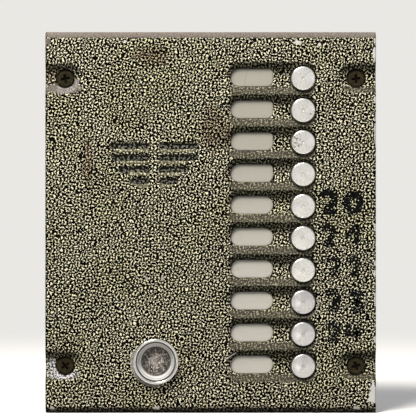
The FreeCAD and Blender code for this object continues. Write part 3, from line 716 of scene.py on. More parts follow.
        front = board.step(y, FACE + 3.4, FACE + 2.2)
        ragged = (board.noise(1.6, 3.0, 0.7) - 0.5) * 3.2
        chip = board.step(board.patch(self.chips) + ragged, 0.25, 0.5) * front
        rub = board.step(board.patch(self.rubs) + (fine - 0.5) * 2.2, 0.1, 0.6)
        bare = board.layered(self.rubbed[0], (board.step(wrinkle, 0.0, 0.5), self.rubbed[1]))
        pale = board.layered(dusty, (board.step(z, 0.0, -1.0), bare))

        return {
            "Base Color": board.layered(
                ground,
                (veins, vein),
                # Painted shade on the troughs' upper sides.
                (eave * 0.75, self.painted_eave_shade),
                # Painted shadow in the gaps round the buttons and the screws.
                (gap * 0.9, self.painted_gap_shadow),
                (stain * veins * 0.5, self.rust),
                (dust * 0.94, dusty),
                # Painted shade on the bottom bend and the left edge.
                (painted_edge_shade * 0.78, self.painted_edge_shade),
                (chip, self.chipped),
                (rub * (1.0 - gap) * front * 0.85, pale),
                # Painted highlight on the grille slots' lower lips.
                (self._grille_lip_highlights(board) * 0.42, self.lip_highlight),
                *self._worn_rings(board, fine, wrinkle),
                (self._scratch(board), self.scratched),
            ),
            "Roughness": 0.36 + (1.0 - veins) * 0.1 + dust * 0.2 + chip * 0.15,
            "Specular IOR Level": self.gloss_level,
            "Normal": board.bump(veins * 0.7 + board.noise(0.3, 1.0) * 0.15, 0.1, 0.7),
        }


@dataclass(frozen=True)
class TurnedMetal(Finish):
    """Bright metal faced on a lathe: fine rings round each button's axis, tarnish, dirt."""

    tone: Tone = (214, 212, 207)
    dirt: Tone = (110, 102, 90)
    roughness: float = 0.22
    ring: float = 0.16
    relief: float = 0.012
    dirt_share: float = 0.62

    def _radius(self, board: NodeBoard) -> Signal:
        """Distance from the axis that the rings run round."""
        return board.button_radius

    def _marks(self, board: NodeBoard) -> tuple[Signal, Signal]:
        """Noise of the tarnish, and mask of the specks and scratches.

        Args:
            board: node board of the material.

        Returns:
            The noise and the mask.
        """
        specks = board.step(board.noise(0.45, 1.0), self.dirt_share, self.dirt_share + 0.08)
        scratch = board.noise(0.8, 2.0, 0.7, scale=(1.0, 1.0, 0.3))
        return board.noise(2.6, 3.0, 0.6), specks.at_least(board.step(scratch, 0.66, 0.72) * 0.6)

    def _metal(self, board: NodeBoard, cloud: Signal, specks: Signal) -> Signal:
        """Colour of the tarnished and speckled metal.

        Args:
            board: node board of the material.
            cloud: noise of the tarnish.
            specks: mask of the dirt.

        Returns:
            The colour.
        """
        return board.layered(
            self.tone,
            (board.step(cloud, 0.45, 0.8) * 0.35, tuple(0.78 * part for part in self.tone)),
            (specks * 0.8, self.dirt),
        )

    def _relief(self, board: NodeBoard) -> Signal:
        """Relief of the rings.

        Args:
            board: node board of the material.

        Returns:
            The normal.
        """
        wandered = self._radius(board) + board.noise(1.2, 2.0) * self.ring
        rings = (wandered * (2 * math.pi / self.ring)).sine()
        return board.bump(rings * 0.5 + 0.5, self.relief)


@dataclass(frozen=True)
class ButtonMetal(TurnedMetal):
    """Button caps: a painted sheen and glint, and dirt caught on two of them."""

    sheen: float = 0.12
    sheen_tone: Tone = (112, 110, 112)
    glint_tone: Tone = (252, 252, 252)
    crumb_tone: Tone = (92, 86, 74)
    pip_tone: Tone = (128, 126, 122)
    soiled: tuple = (
        (BUTTON_X - 3.6, ROWS[2] + 0.6, 3.4, 5.0), (BUTTON_X + 4.2, ROWS[1] - 1.0, 1.2, 2.0),
    )

    def sockets(self, board: NodeBoard) -> dict:
        """Shader sockets of the caps.

        Args:
            board: node board of the material.

        Returns:
            Values and signals by socket name.
        """
        radius = self._radius(board)
        cloud, specks = self._marks(board)
        across, up = board.axes[0] - BUTTON_X, board.above_row
        shaded = board.step((across * 0.42 + up * 0.91) / (radius + 0.4), 0.35, 1.0)
        glint = board.step((across * -0.97 + up * -0.2) / (radius + 0.4), 0.6, 1.0)
        glint = glint * board.step(radius, 5.4, 2.6)
        crumbs = board.step(board.noise(1.1, 2.0, 0.7), 0.53, 0.58)
        crumbs = crumbs * board.step(board.patch(self.soiled), 0.0, 0.3)
        dirty = specks.at_least(crumbs * 0.8)
        return {
            "Base Color": board.layered(
                self._metal(board, cloud, specks),
                (shaded * self.sheen, self.sheen_tone),
                (glint * self.sheen * 1.6, self.glint_tone),
                (crumbs * 0.9, self.crumb_tone),
                (board.step(radius, 1.5, 0.5) * 0.5, self.pip_tone),
            ),
            "Metallic": 1.0 - dirty * 0.7,
            "Roughness": (self.roughness + cloud * 0.12 + dirty * 0.3
                          + board.step(radius, 1.6, 0.8) * 0.12),
            "Normal": self._relief(board),
        }


@dataclass(frozen=True)
class ReaderMetal(TurnedMetal):
    """Reader's ring: polished rim and satin cup; the cup is painted darker towards its lower right as
    shade, and its rings hold grime and painted shade.
    """

    satin_radius: float = 9.9
    # The second satin tone is a painted shade for the cup's lower right.
    satin: tuple[Tone, Tone] = ((240, 239, 237), (190, 189, 188))
    # Grime at the cup's foot and painted shade in the rings.
    grime_and_shade: Tone = (52, 50, 52)

    def _radius(self, board: NodeBoard) -> Signal:
        """Distance from the reader's axis."""
        return board.radius((READER_X, READER_Z))

    def _grime_and_shade_rings(self, board: NodeBoard) -> Signal:
        """Mask of the dark rings: painted shade in the groove and in a crease inside it, a thin painted
        dark reflection line on the rim outside it, and grime at the cup's foot.

        Args:
            board: node board of the material.

        Returns:
            The mask.
        """
        radius = self._radius(board)
        groove = board.step(abs(radius - self.satin_radius - 0.45), 0.4, 0.2)
        line = board.step(abs(radius - self.satin_radius - 1.45), 0.16, 0.06) * 0.4
        crease = board.step(abs(radius - self.satin_radius + 0.75), 0.2, 0.08) * 0.6
        foot = board.step(radius, self.satin_radius - 1.8, self.satin_radius - 2.05) * 0.85
        return groove.at_least(line).at_least(crease).at_least(foot)

    def sockets(self, board: NodeBoard) -> dict:
        """Shader sockets of the ring.

        Args:
            board: node board of the material.

        Returns:
            Values and signals by socket name.
        """
        x, _, z = board.axes
        radius = self._radius(board)
        cloud, specks = self._marks(board)
        satin = board.step(radius, self.satin_radius, self.satin_radius - 0.25)
        # Painted shade: the satin cup darkens towards its lower right.
        lower = (x - READER_X) * 0.55 - (z - READER_Z) * 0.84
        shaded = board.layered(self.satin[0], (board.step(lower / radius, -0.5, 0.9), self.satin[1]))
        grime_and_shade = self._grime_and_shade_rings(board)
        metallic = 1.0 - specks * 0.7 - satin * 0.8
        return {
            "Base Color": board.layered(
                self._metal(board, cloud, specks),
                (satin * (1.0 - specks), shaded),
                # Grime and painted shade in the dark rings.
                (grime_and_shade * 0.9, self.grime_and_shade),
            ),
            "Metallic": metallic * (1.0 - grime_and_shade * 0.6),
            "Roughness": self.roughness + cloud * 0.12 + specks * 0.3 + satin * 0.34,
            "Normal": self._relief(board),
        }


@dataclass(frozen=True)
class MilkyWindow(Finish):
    """Yellowed milky plastic with fine scratches, and painted shade along its top edge and ends."""

    name: str = "milky_window"
    tone: Tone = (191, 188, 179)
    aged: Tone = (166, 162, 151)
    smear: Tone = (150, 143, 130)
    # Painted shade along the lens's top edge and ends.
    grime_and_shade: Tone = (112, 102, 84)
    crack: Tone = (120, 112, 100)

    def sockets(self, board: NodeBoard) -> dict:
        """Shader sockets; the lower windows are the paler ones.

        Args:
            board: node board of the material.

        Returns:
            Values and signals by socket name.
        """
        x, _, z = board.axes
        up = board.above_row
        cloud = board.noise(5.0, 3.0, 0.6)
        # Painted shade along the top edge and ends, under the opening's walls.
        top = board.step(up + (cloud - 0.5) * 1.2, 1.6, 5.2)
        end = board.step(abs(x - WINDOW_X) + (cloud - 0.5) * 2.0, 8.8, 11.2)
        smear = board.step(board.noise(2.0, 3.0, 0.6, scale=(0.25, 1.0, 1.4)), 0.56, 0.75)
        bow = x - 18.6 - up * 0.2 - up * up * 0.02
        crack = board.step(abs(bow), 0.28, 0.1) * board.step(z, 68.0, 68.2)
        return {
            "Base Color": board.layered(
                self.tone,
                (board.step(z, -50.0, 66.0), self.aged),
                (smear * 0.22, self.smear),
                # Painted shade along the top edge and ends.
                ((top * 0.12).at_least(end * 0.22), self.grime_and_shade),
                (crack * 0.35, self.crack),
            ),
            "Roughness": 0.3 + cloud * 0.2,
            "Subsurface Weight": 0.12,
            "Subsurface Scale": 0.002,
            "Normal": board.bump(board.noise(0.7, 2.0, scale=(0.3, 1.0, 6.0)), 0.01),
        }


@dataclass(frozen=True)
class BlackScrew(Finish):
    """Blackened steel with brown rust, darker in the cross recess, and a painted shadow round the head's
    rim.
    """

    name: str = "black_screw_steel"
    tone: Tone = (36, 32, 18)
    rust: Tone = (54, 47, 29)
    # Dark tone of the cross recess and of the painted shadow round the head's rim.
    dirt: Tone = (5, 5, 4)

    def sockets(self, board: NodeBoard) -> dict:
        """Shader sockets of the screws.

        Args:
            board: node board of the material.

        Returns:
            Values and signals by socket name.
        """
        cloud = board.noise(1.5, 3.0, 0.6)
        # Darker in the cross recess; the head's rim takes a painted shadow.
        recess = board.step(board.axes[1], FLOOR + 0.03, FLOOR + 0.25)
        deep = recess.at_least(board.step(board.screw_radius, 4.05, 4.4))
        return {
            "Base Color": board.layered(self.tone, (board.step(cloud, 0.42, 0.66), self.rust),
                                        (deep * 0.95, self.dirt)),
            "Specular IOR Level": 0.08,
            "Roughness": 0.5 + cloud * 0.2,
            "Normal": board.bump(board.noise(0.25, 2.0) * 0.5 + cloud * 0.5, 0.05),
        }


@dataclass(frozen=True)
class WornContact(Finish):
    """Contact disc or its soiled ring: pinkish rubbed middle, dark pits and streaks outside."""

    name: str = "worn_contact_steel"
    metallic: float = 0.35
    dull: Tone = (62, 56, 49)
    clean: Tone = (156, 148, 140)
    rubbed: Tone = (206, 197, 190)
    worm: Tone = (36, 31, 26)
    pit: Tone = (28, 24, 19)
    fleck: Tone = (232, 227, 222)
    rim: Tone = (92, 84, 54)

    def sockets(self, board: NodeBoard) -> dict:
        """Shader sockets, with the marks laid over the rubbed steel.

        Args:
            board: node board of the material.

        Returns:
            Values and signals by socket name.
        """
        radius = board.radius((READER_X, READER_Z))
        cloud = board.noise(1.6, 3.0, 0.65)
        outer = board.step(radius, 2.0, 7.0)
        pits = board.step(board.noise(1.3, 2.0, 0.7), 0.55 - outer * 0.09, 0.58 - outer * 0.08)
        streaks = board.noise(0.5, 2.0, scale=(1.0, 1.0, 0.35))
        rubbed = board.step(radius + (cloud - 0.5) * 6.0, 6.0, 2.0)
        worms = board.step(board.wrinkle(), 0.4, 1.2) * (0.45 + outer * 0.35)
        flecks = board.step(board.noise(1.0, 1.0), 0.38, 0.33)
        return {
            "Base Color": board.layered(
                self.dull,
                (board.step(cloud, 0.42, 0.6), self.clean),
                (rubbed * 0.5, self.rubbed),
                (worms, self.worm),
                (pits * 0.9, self.pit),
                (flecks * 0.8, self.fleck),
                (board.step(radius, 7.0, 7.4) * 0.7, self.rim),
            ),
            "Metallic": self.metallic,
            "Roughness": 0.42 + streaks * 0.2,
            "Normal": board.bump(streaks * 0.5 - pits * 0.5 + 0.5, 0.05),
        }


@dataclass(frozen=True)
class MarkerInk(Finish):
    """Matt felt-pen ink that has worn off the veins, more on the lower numbers."""

    name: str = "marker_ink"
    fresh: Tone = (5, 5, 5)
    worn: Tone = (62, 62, 70)

    def sockets(self, board: NodeBoard) -> dict:
        """Shader sockets, where the ink is gone above a level of the wrinkles.

        Args:
            board: node board of the material.

        Returns:
            Values and signals by socket name.
        """
        z = board.axes[2]
        cloud = board.noise(1.1, 1.0, 0.5, 0.3)
        crest = board.wrinkle() + (board.noise(3.0, 1.0) - 0.5) * 2.4
        level = 4.6 - board.step(z, 3.4, 2.0) * 0.3 - board.step(z, -14.0, -17.0) * 0.6
        worn = board.step(crest, level - 0.9, level - 0.5)
        return {
            "Base Color": board.layered(self.fresh, (worn * 0.6, self.worn)),
            "Specular IOR Level": 0.06,
            "Roughness": 0.55 + cloud * 0.2,
            "Alpha": 1.0 - board.step(crest, level, level + 0.2),
            "Normal": board.bump(cloud, 0.06),
        }


@dataclass(frozen=True)
class WovenCloth(Finish):
    """Plain weave of grey thread with lint and painted light: each thread is a rounded bar, over and
    under.
    """

    name: str = "woven_cloth"
    pitch: float = 0.62
    valley: Tone = (2, 2, 2)
    thread: Tone = (16, 15, 13)
    # Pale flecks of lint and painted light.
    lint_and_light: Tone = (252, 248, 226)

    def sockets(self, board: NodeBoard) -> dict:
        """Shader sockets; pale flecks of lint and painted light lie behind the slots' lower halves.

        Args:
            board: node board of the material.

        Returns:
            Values and signals by socket name.
        """
        x, _, z = board.axes
        warp = (x * (math.pi / self.pitch)).sine()
        weft = (z * (math.pi / self.pitch)).sine()
        threads = (abs(warp) * abs(weft)) ** 0.5
        height = threads * 0.7 + (warp * weft * 0.5 + 0.5) * 0.3
        cloud = board.noise(2.2, 3.0, 0.7)
        # Painted light with lint: pale flecks gather behind each slot's lower half, where light falls in.
        slot = (((z - GRILLE_Z - 0.2) / SLOT_PITCH + 0.5).fraction() - 0.5) * SLOT_PITCH
        lit_shelf = board.step(slot, 0.7, 0.1)
        lint_and_light = board.step(board.wrinkle((0.7, 1.0, 0.8)) + lit_shelf * 3.0, 3.5, 3.9)
        return {
            "Base Color": board.layered(self.valley, (board.step(height, 0.25, 0.8), self.thread),
                                        (lint_and_light * 0.95, self.lint_and_light)),
            "Roughness": 0.75 + cloud * 0.2,
            "Sheen Weight": 0.05,
            "Normal": board.bump(height + cloud * 0.3, 0.12),
        }


# Shells

@dataclass
class Shell:
    """Closed surface: points in millimetres, and one array of faces for each face size."""

    points: np.ndarray
    faces: list[np.ndarray]

    def outward(self) -> "Shell":
        """Turns the faces outwards.

        The volume is the sum of (a x b) . c over a fan of every face, and is above 0
        where the faces look outwards.

        Returns:
            The shell, without points that no face uses.
        """
        volume = 0.0
        for group in self.faces:
            first = self.points[group[:, 0]]
            for corner in range(1, group.shape[1] - 1):
                second = self.points[group[:, corner]]
                third = self.points[group[:, corner + 1]]
                volume += float(np.einsum("ij,ij->", np.cross(first, second), third))
        faces = [group[:, ::-1] for group in self.faces] if volume < 0 else self.faces
        used = np.unique(np.concatenate([group.ravel() for group in faces]))
        number = np.zeros(len(self.points), int)
        number[used] = np.arange(len(used))
        return Shell(self.points[used], [number[group] for group in faces])


def joined(shells: Sequence[Shell]) -> Shell:
    """Several shells as one.

    Args:
        shells: the shells.

    Returns:
        Shell with all their faces.
    """
    faces = []
    start = 0
    for shell in shells:
        faces += [group + start for group in shell.faces]
        start += len(shell.points)
    return Shell(np.concatenate([shell.points for shell in shells]), faces)


def strips(index: np.ndarray, wrap: bool) -> list[np.ndarray]:
    """Faces between the neighbouring rows of a grid whose rows are closed.

    Args:
        index: point numbers, one row for each ring; a pole repeats one number.
        wrap: whether the last row joins the first.

    Returns:
        Triangles next to the poles and quads elsewhere.
    """
    rows = np.concatenate([index, index[:1]]) if wrap else index
    ahead = np.roll(rows, -1, axis=1)
    quads = np.stack([rows[:-1], ahead[:-1], ahead[1:], rows[1:]], -1).reshape(-1, 4)
    first_pole = quads[:, 0] == quads[:, 1]
    last_pole = quads[:, 2] == quads[:, 3]
    groups = [
        quads[~(first_pole | last_pole)],
        quads[first_pole & ~last_pole][:, 1:],
        quads[last_pole & ~first_pole][:, :3],
    ]
    return [group for group in groups if len(group)]


def turned(x: float, z: float, profile: Sequence[tuple[float, float]], segments: int = 96) -> Shell:
    """Surface of revolution about a line along Y.

    Point (r, y) of the profile at the turn t is (x + r cos t, y, z + r sin t).

    Args:
        x: place of the line.
        z: place of the line.
        profile: (radius, y) pairs; from axis to axis, or a closed ring that stays off it.
        segments: steps round the line.

    Returns:
        The closed shell.
    """
    line = np.asarray(profile, float)
    turns = np.linspace(0, 2 * math.pi, segments, endpoint=False)
    radius = line[:, :1]
    points = np.stack([
        x + radius * np.cos(turns),
        np.broadcast_to(line[:, 1:], (len(line), segments)),
        z + radius * np.sin(turns),
    ], -1).reshape(-1, 3)
    index = np.arange(len(points)).reshape(len(line), segments)
    on_axis = line[:, 0] < 1e-9
    index[on_axis] = index[on_axis][:, :1]
    return Shell(points, strips(index, not on_axis.any())).outward()


def softened(profile: Sequence[tuple[float, float]], radius: float, closed: bool = False,
             steps: int = 4) -> np.ndarray:
    """Profile with its corners rounded.

    Each corner c between its neighbours is replaced by the curve
    (1 - t)^2 a + 2 t (1 - t) c + t^2 b, where a and b lie on the two sides at the given
    distance, or at 45% of a shorter side.

    Args:
        profile: corner points.
        radius: distance from each corner at which the curve starts.
        closed: whether the first and last point are joined.
        steps: pieces of each curve.

    Returns:
        Points of the softened profile.
    """
    corners = np.asarray(profile, float)
    longest = 0.45
    ends = []
    for step in (1, -1):
        side = np.roll(corners, step, axis=0) - corners
        length = np.linalg.norm(side, axis=1, keepdims=True)
        ends.append(corners + side * np.minimum(radius / length, longest))
    start, end = ends
    t = np.linspace(0, 1, steps + 1)[None, :, None]
    curves = (1 - t) ** 2 * start[:, None] + 2 * t * (1 - t) * corners[:, None] + t ** 2 * end[:, None]
    if closed:
        return curves.reshape(-1, 2)
    return np.concatenate([corners[:1], curves[1:-1].reshape(-1, 2), corners[-1:]])


def tube(x: float, z: float, radii: Pair, ends: Pair, rounding: float, segments: int) -> Shell:
    """Tube along Y with softened edges.

    Args:
        x: place of its axis.
        z: place of its axis.
        radii: inner and outer radius.
        ends: y of its two ends.
        rounding: how far the edges' curves reach.
        segments: steps round the axis.

    Returns:
        The closed shell.
    """
    (inner, outer), (near, far) = radii, ends
    corners = [(inner, near), (outer, near), (outer, far), (inner, far)]
    return turned(x, z, softened(corners, rounding, True, 2), segments)


def rotation(angle: float) -> np.ndarray:
    """Matrix that turns rows of (x, z) by an angle in radians."""
    return np.array([[math.cos(angle), math.sin(angle)], [-math.sin(angle), math.cos(angle)]])


@dataclass(frozen=True)
class Outline:
    """Rounded rectangle on the front: middle, half sizes, and the radius of each corner.

    The corners run upper right, upper left, lower left, lower right.
    """

    x: float
    z: float
    half_x: float
    half_z: float
    radii: tuple[float, float, float, float]

    @classmethod
    def round(cls, x: float, z: float, radius: float) -> "Outline":
        """Circle."""
        return cls(x, z, radius, radius, (radius,) * 4)

    def grown(self, by: float) -> "Outline":
        """Outline at a constant distance outside this one, or inside it where by is below 0."""
        radii = tuple(max(radius + by, 0.02) for radius in self.radii)
        return Outline(self.x, self.z, self.half_x + by, self.half_z + by, radii)

    def _dense(self) -> np.ndarray:
        """Closely spaced points round the outline: four arcs c + r (cos t, sin t), joined.

        Returns:
            Array of (x, z).
        """
        quarter = np.linspace(0, math.pi / 2, 65)
        arcs = []
        for corner, radius in enumerate(self.radii):
            turn = quarter + corner * math.pi / 2
            side_x = 1 if corner in (0, 3) else -1
            side_z = 1 if corner in (0, 1) else -1
            arcs.append(np.stack([
                self.x + side_x * (self.half_x - radius) + radius * np.cos(turn),
                self.z + side_z * (self.half_z - radius) + radius * np.sin(turn),
            ], 1))
        return np.concatenate(arcs)

    def length(self) -> float:
        """Length of the outline."""
        dense = self._dense()
        return float(np.linalg.norm(np.roll(dense, -1, axis=0) - dense, axis=1).sum())

    def loop(self, count: int) -> np.ndarray:
        """Points spread evenly along the outline, first at the right end.

        Args:
            count: how many points.

        Returns:
            Array of (x, z).
        """
        dense = self._dense()
        closed = np.concatenate([dense, dense[:1]])
        runs = np.concatenate([[0], np.cumsum(np.linalg.norm(np.diff(closed, axis=0), axis=1))])
        along = np.linspace(0, runs[-1], count, endpoint=False)
        return np.stack([np.interp(along, runs, closed[:, k]) for k in (0, 1)], 1)

    def distance(self, x: np.ndarray, z: np.ndarray) -> np.ndarray:
        """Signed distance, below 0 inside: |max(q, 0)| + min(max(q), 0) - r with q = |p| - half + r.

        Args:
            x: places across.
            z: places up.

        Returns:
            Distance of each place.
        """
        right = x > self.x
        upper = z > self.z
        top = np.where(right, self.radii[0], self.radii[1])
        low = np.where(right, self.radii[3], self.radii[2])
        radius = np.where(upper, top, low)
        across = np.abs(x - self.x) - self.half_x + radius
        up = np.abs(z - self.z) - self.half_z + radius
        outside = np.hypot(np.maximum(across, 0), np.maximum(up, 0))
        return outside + np.minimum(np.maximum(across, up), 0) - radius


def lofted(levels: Sequence[tuple[Outline, float]], count: int) -> Shell:
    """Solid through a stack of outlines, closed by flat ends.

    Args:
        levels: (outline, y) from the caller's side to the wall.
        count: points round each outline.

    Returns:
        The closed shell.
    """
    loops = [np.insert(outline.loop(count), 1, y, axis=1) for outline, y in levels]
    index = np.arange(len(loops) * count).reshape(len(loops), count)
    faces = [*strips(index, False), index[:1, ::-1], index[-1:]]
    return Shell(np.concatenate(loops), faces).outward()


def net(loops: Sequence[np.ndarray], points: np.ndarray) -> tuple[np.ndarray, np.ndarray]:
    """Triangle net over flat points in which closed loops keep their edges.

    Args:
        loops: closed loops of (x, z).
        points: other points.

    Returns:
        Points and triangles, each triangle counterclockwise as a caller sees it.
    """
    edges = []
    start = 0
    for loop in loops:
        number = np.arange(start, start + len(loop))
        edges.append(np.stack([number, np.roll(number, -1)], 1))
        start += len(loop)
    flat = np.concatenate([*loops, points])
    made = delaunay_2d_cdt(flat.tolist(), np.concatenate(edges).tolist(), [], 0, 1e-5)
    places = np.array(made[0], float)
    triangles = np.array(made[2], int)
    a, b, c = (places[triangles[:, k]] for k in range(3))
    area = (b[:, 0] - a[:, 0]) * (c[:, 1] - a[:, 1]) - (b[:, 1] - a[:, 1]) * (c[:, 0] - a[:, 0])
    flip = area < 0
    triangles[flip] = triangles[flip][:, ::-1]
    return places, triangles[np.abs(area) > 1e-9]


def border(triangles: np.ndarray) -> np.ndarray:
    """Directed edges that only one triangle of the group uses.

    Args:
        triangles: the group's triangles.

    Returns:
        Array of (start, end).
    """
    edges = np.concatenate([triangles[:, [0, 1]], triangles[:, [1, 2]], triangles[:, [2, 0]]])
    span = int(triangles.max()) + 1
    forward = edges[:, 0] * span + edges[:, 1]
    backward = edges[:, 1] * span + edges[:, 0]
    return edges[~np.isin(forward, backward)]


def plate(places: np.ndarray, triangles: np.ndarray, deep: np.ndarray, front: np.ndarray,
          back: np.ndarray, rim: float) -> Shell:
    """Closed plate under a height field.

    The front is y = front(x, z). Behind it, the back is y = back(x, z) where deep holds,
    and the flat rim elsewhere; walls join them along every border.

    Args:
        places: (x, z) of the points.
        triangles: triangles of the net without its holes.
        deep: for each triangle, whether the hollow back lies behind it.
        front: y of each point on the caller's side.
        back: y of each point in the hollow.
        rim: y of the rim.

    Returns:
        The closed shell.
    """
    count = len(places)
    levels = [front, back, np.full(count, rim)]
    points = np.concatenate([np.stack([places[:, 0], y, places[:, 1]], 1) for y in levels])
    inner, outer = triangles[deep], triangles[~deep]
    faces = [triangles]
    walls = []
    for group, layer in ((inner, 1), (outer, 2)):
        if len(group):
            faces.append(group[:, ::-1] + layer * count)
            walls.append((group, layer))
    outer_edge = border(triangles)
    edge_keys = outer_edge[:, 0] * count + outer_edge[:, 1]
    quads = []
    for group, layer in walls:
        own = border(group)
        keys = own[:, 0] * count + own[:, 1]
        free = own[np.isin(keys, edge_keys)]
        a, b = free[:, 0], free[:, 1]
        quads.append(np.stack([b, a, a + layer * count, b + layer * count], 1))
        shared = own[~np.isin(keys, edge_keys)]
        if layer == 1 and len(shared):
            a, b = shared[:, 0], shared[:, 1]
            quads.append(np.stack([b + count, a + count, a + 2 * count, b + 2 * count], 1)[:, ::-1])
    faces.append(np.concatenate(quads))
    return Shell(points, faces).outward()


def make_piece(name: str, shell: Shell, material: bpy.types.Material, body: str,
               replaces: Sequence[str] = (), crease: float = 38.0) -> bpy.types.Object:
    """Makes one piece of the object.

    Args:
        name: the piece's name.
        shell: its surface in millimetres.
        material: its finish.
        body: CAD body that it rides on.
        replaces: CAD nodes that it stands for.
        crease: angle in degrees past which an edge is sharp.

    Returns:
        The new object.
    """
    sizes = np.concatenate([np.full(len(group), group.shape[1]) for group in shell.faces])
    corners = np.concatenate([group.ravel() for group in shell.faces]).astype(np.int32)
    starts = np.concatenate([[0], np.cumsum(sizes)[:-1]]).astype(np.int32)
    mesh = bpy.data.meshes.new(name)
    mesh.vertices.add(len(shell.points))
    mesh.vertices.foreach_set("co", (shell.points * MM).astype(np.float32).ravel())
    mesh.loops.add(len(corners))
    mesh.loops.foreach_set("vertex_index", corners)
    mesh.polygons.add(len(sizes))
    mesh.polygons.foreach_set("loop_start", starts)
    mesh.polygons.foreach_set("use_smooth", np.ones(len(sizes), bool))
    mesh.update(calc_edges=True)
    mesh.validate()
    mesh.set_sharp_from_angle(angle=math.radians(crease))
    mesh.materials.append(material)
    piece = bpy.data.objects.new(name, mesh)
    bpy.context.scene.collection.objects.link(piece)
    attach(piece, body)
    if replaces:
        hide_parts(*replaces)
    log.info("%s: %d faces", name, len(sizes))
    return piece


# Front panel

@dataclass
class CastPanel:
    """Cast front: troughs for the rows, openings, grille, rounded edges, seats behind."""

    half_width: float = 88.0
    half_height: float = 101.5
    bend_radius: float = 4.0
    edge_radius: float = 0.8
    wall: float = 3.0
    scoop_depth: float = 2.2
    scoop_half: float = 8.4
    scoop_left: float = LANE_LEFT
    soft_edge: float = 0.4
    hole_rounding: float = 0.4
    slot_rounding: float = 1.0
    slot_reaches: tuple[float, ...] = (23.8, 22.6, 18.4, 12.7)
    slot_pitch: float = SLOT_PITCH
    slot_half: float = 1.5
    rib_half: float = 2.8
    draft: float = 0.3
    window_half: Pair = (11.45, 4.95)
    window_shift: Pair = (-0.25, 0.55)
    square_rows: int = 4
    square_corners: tuple[float, ...] = (2.6, 4.8, 4.8, 3.6)
    button_hole: float = 6.8
    screw_hole: float = 4.8
    reader_hole: float = 9.7
    sound_hole: float = 0.95
    sound_offset: float = 4.3
    small_rounding: float = 0.3
    sound_rounding: float = 0.25
    screw_inset: float = 2.2
    past_side: float = 110.0
    pad_margin: float = 1.0
    pad_corner: float = 0.6
    rib_depth: float = 1.0
    boss_depth: float = 1.5
    boss_radii: Pair = (1.55, 3.4)
    carrier_bosses: Pair = (4.45, 62.6)
    speaker_bosses: float = 33.7
    speaker_boss_end: float = -6.4
    speaker_rib: Pair = (28.8, 30.3)
    speaker_rib_end: float = -6.7
    sound_rib: Pair = (9.3, 10.8)
    sound_rib_end: float = -6.2
    rounding_steps: tuple[float, ...] = (0.076, 0.293, 0.617, 1.0)
    scoop_steps: tuple[float, ...] = (
        0.0, 1.3, 2.6, 3.9, 5.2, 6.4, 7.2, 7.7, 8.1, 8.5, 8.9, 9.4, 10.1,
    )
    hole_spacing: float = 0.65
    hole_margin: float = 0.6
    pad_spacing: float = 1.8
    scoop_spacing: float = 1.3
    scoop_gap: float = 0.85
    grid_pitch: float = 2.4
    grid_rise: float = 0.87
    grid_margins: Pair = (4.2, 6.2)
    grid_start: float = 11.2
    grid_gap: float = 1.6
    lines: tuple[int, int] = (82, 98)
    thin: float = 0.01
    holes: list[tuple[Outline, float]] = field(default_factory=list)

    def __post_init__(self) -> None:
        """Works out the openings and the troughs' axes."""
        half_x, half_z = self.window_half
        for row, z in enumerate(ROWS):
            corners = self.square_corners if row < self.square_rows else (half_z,) * 4
            window = Outline(WINDOW_X + self.window_shift[0], z + self.window_shift[1],
                             half_x, half_z, corners)
            self.holes.append((window, self.hole_rounding))
            self.holes.append((Outline.round(BUTTON_X, z, self.button_hole), self.hole_rounding))
        for index, reach in enumerate(self.slot_reaches):
            half = (reach - self.rib_half) / 2
            for side in (-1, 1):
                middle = GRILLE_X + side * (self.rib_half + half)
                z = GRILLE_Z - index * self.slot_pitch
                slot = Outline(middle, z, half, self.slot_half, (self.slot_half,) * 4)
                self.holes.append((slot, self.slot_rounding))
        for side in (-1, 1):
            sound = Outline.round(GRILLE_X + side * self.sound_offset, MIC_Z, self.sound_hole)
            self.holes.append((sound, self.sound_rounding))
            for z in (ROWS[0], ROWS[-1]):
                screw = Outline.round(side * FIXING_X, z, self.screw_hole)
                self.holes.append((screw, self.small_rounding))
        reader = Outline.round(READER_X, READER_Z, self.reader_hole)
        self.holes.append((reader, self.small_rounding))
        self.axes = [(self.scoop_left, BUTTON_X, z) for z in ROWS]
        near = FIXING_X - self.screw_inset
        for z in (ROWS[0], ROWS[-1]):
            self.axes += [(near, self.past_side, z), (-self.past_side, -near, z)]

    def _axis_distances(self, x: np.ndarray, z: np.ndarray) -> np.ndarray:
        """Distance from each trough's axis, one row for each.

        Args:
            x: places across.
            z: places up.

        Returns:
            Array with a row for each axis.
        """
        return np.stack([
            np.hypot(x - np.clip(x, start, end), z - row) for start, end, row in self.axes
        ])

    def _scoop(self, x: np.ndarray, z: np.ndarray) -> np.ndarray:
        """Depth of the troughs.

        A ball of radius R carried along an axis leaves sqrt(R^2 - d^2) - (R - depth) at the
        distance d. Near the face, max(a, 0) + (s - |a|)^2 / 4 s rounds the meeting over s.

        Args:
            x: places across.
            z: places up.

        Returns:
            Depth at each place.
        """
        half, depth = self.scoop_half, self.scoop_depth
        ball = (half ** 2 + depth ** 2) / (2 * depth)
        away = self._axis_distances(x, z).min(axis=0)
        near = np.minimum(away, half)
        slope = half / math.sqrt(ball ** 2 - half ** 2)
        raw = np.sqrt(ball ** 2 - near ** 2) - (ball - depth) - slope * (away - near)
        soft = np.clip(self.soft_edge - np.abs(raw), 0, None)
        return np.maximum(raw, 0) + soft ** 2 / (4 * self.soft_edge)

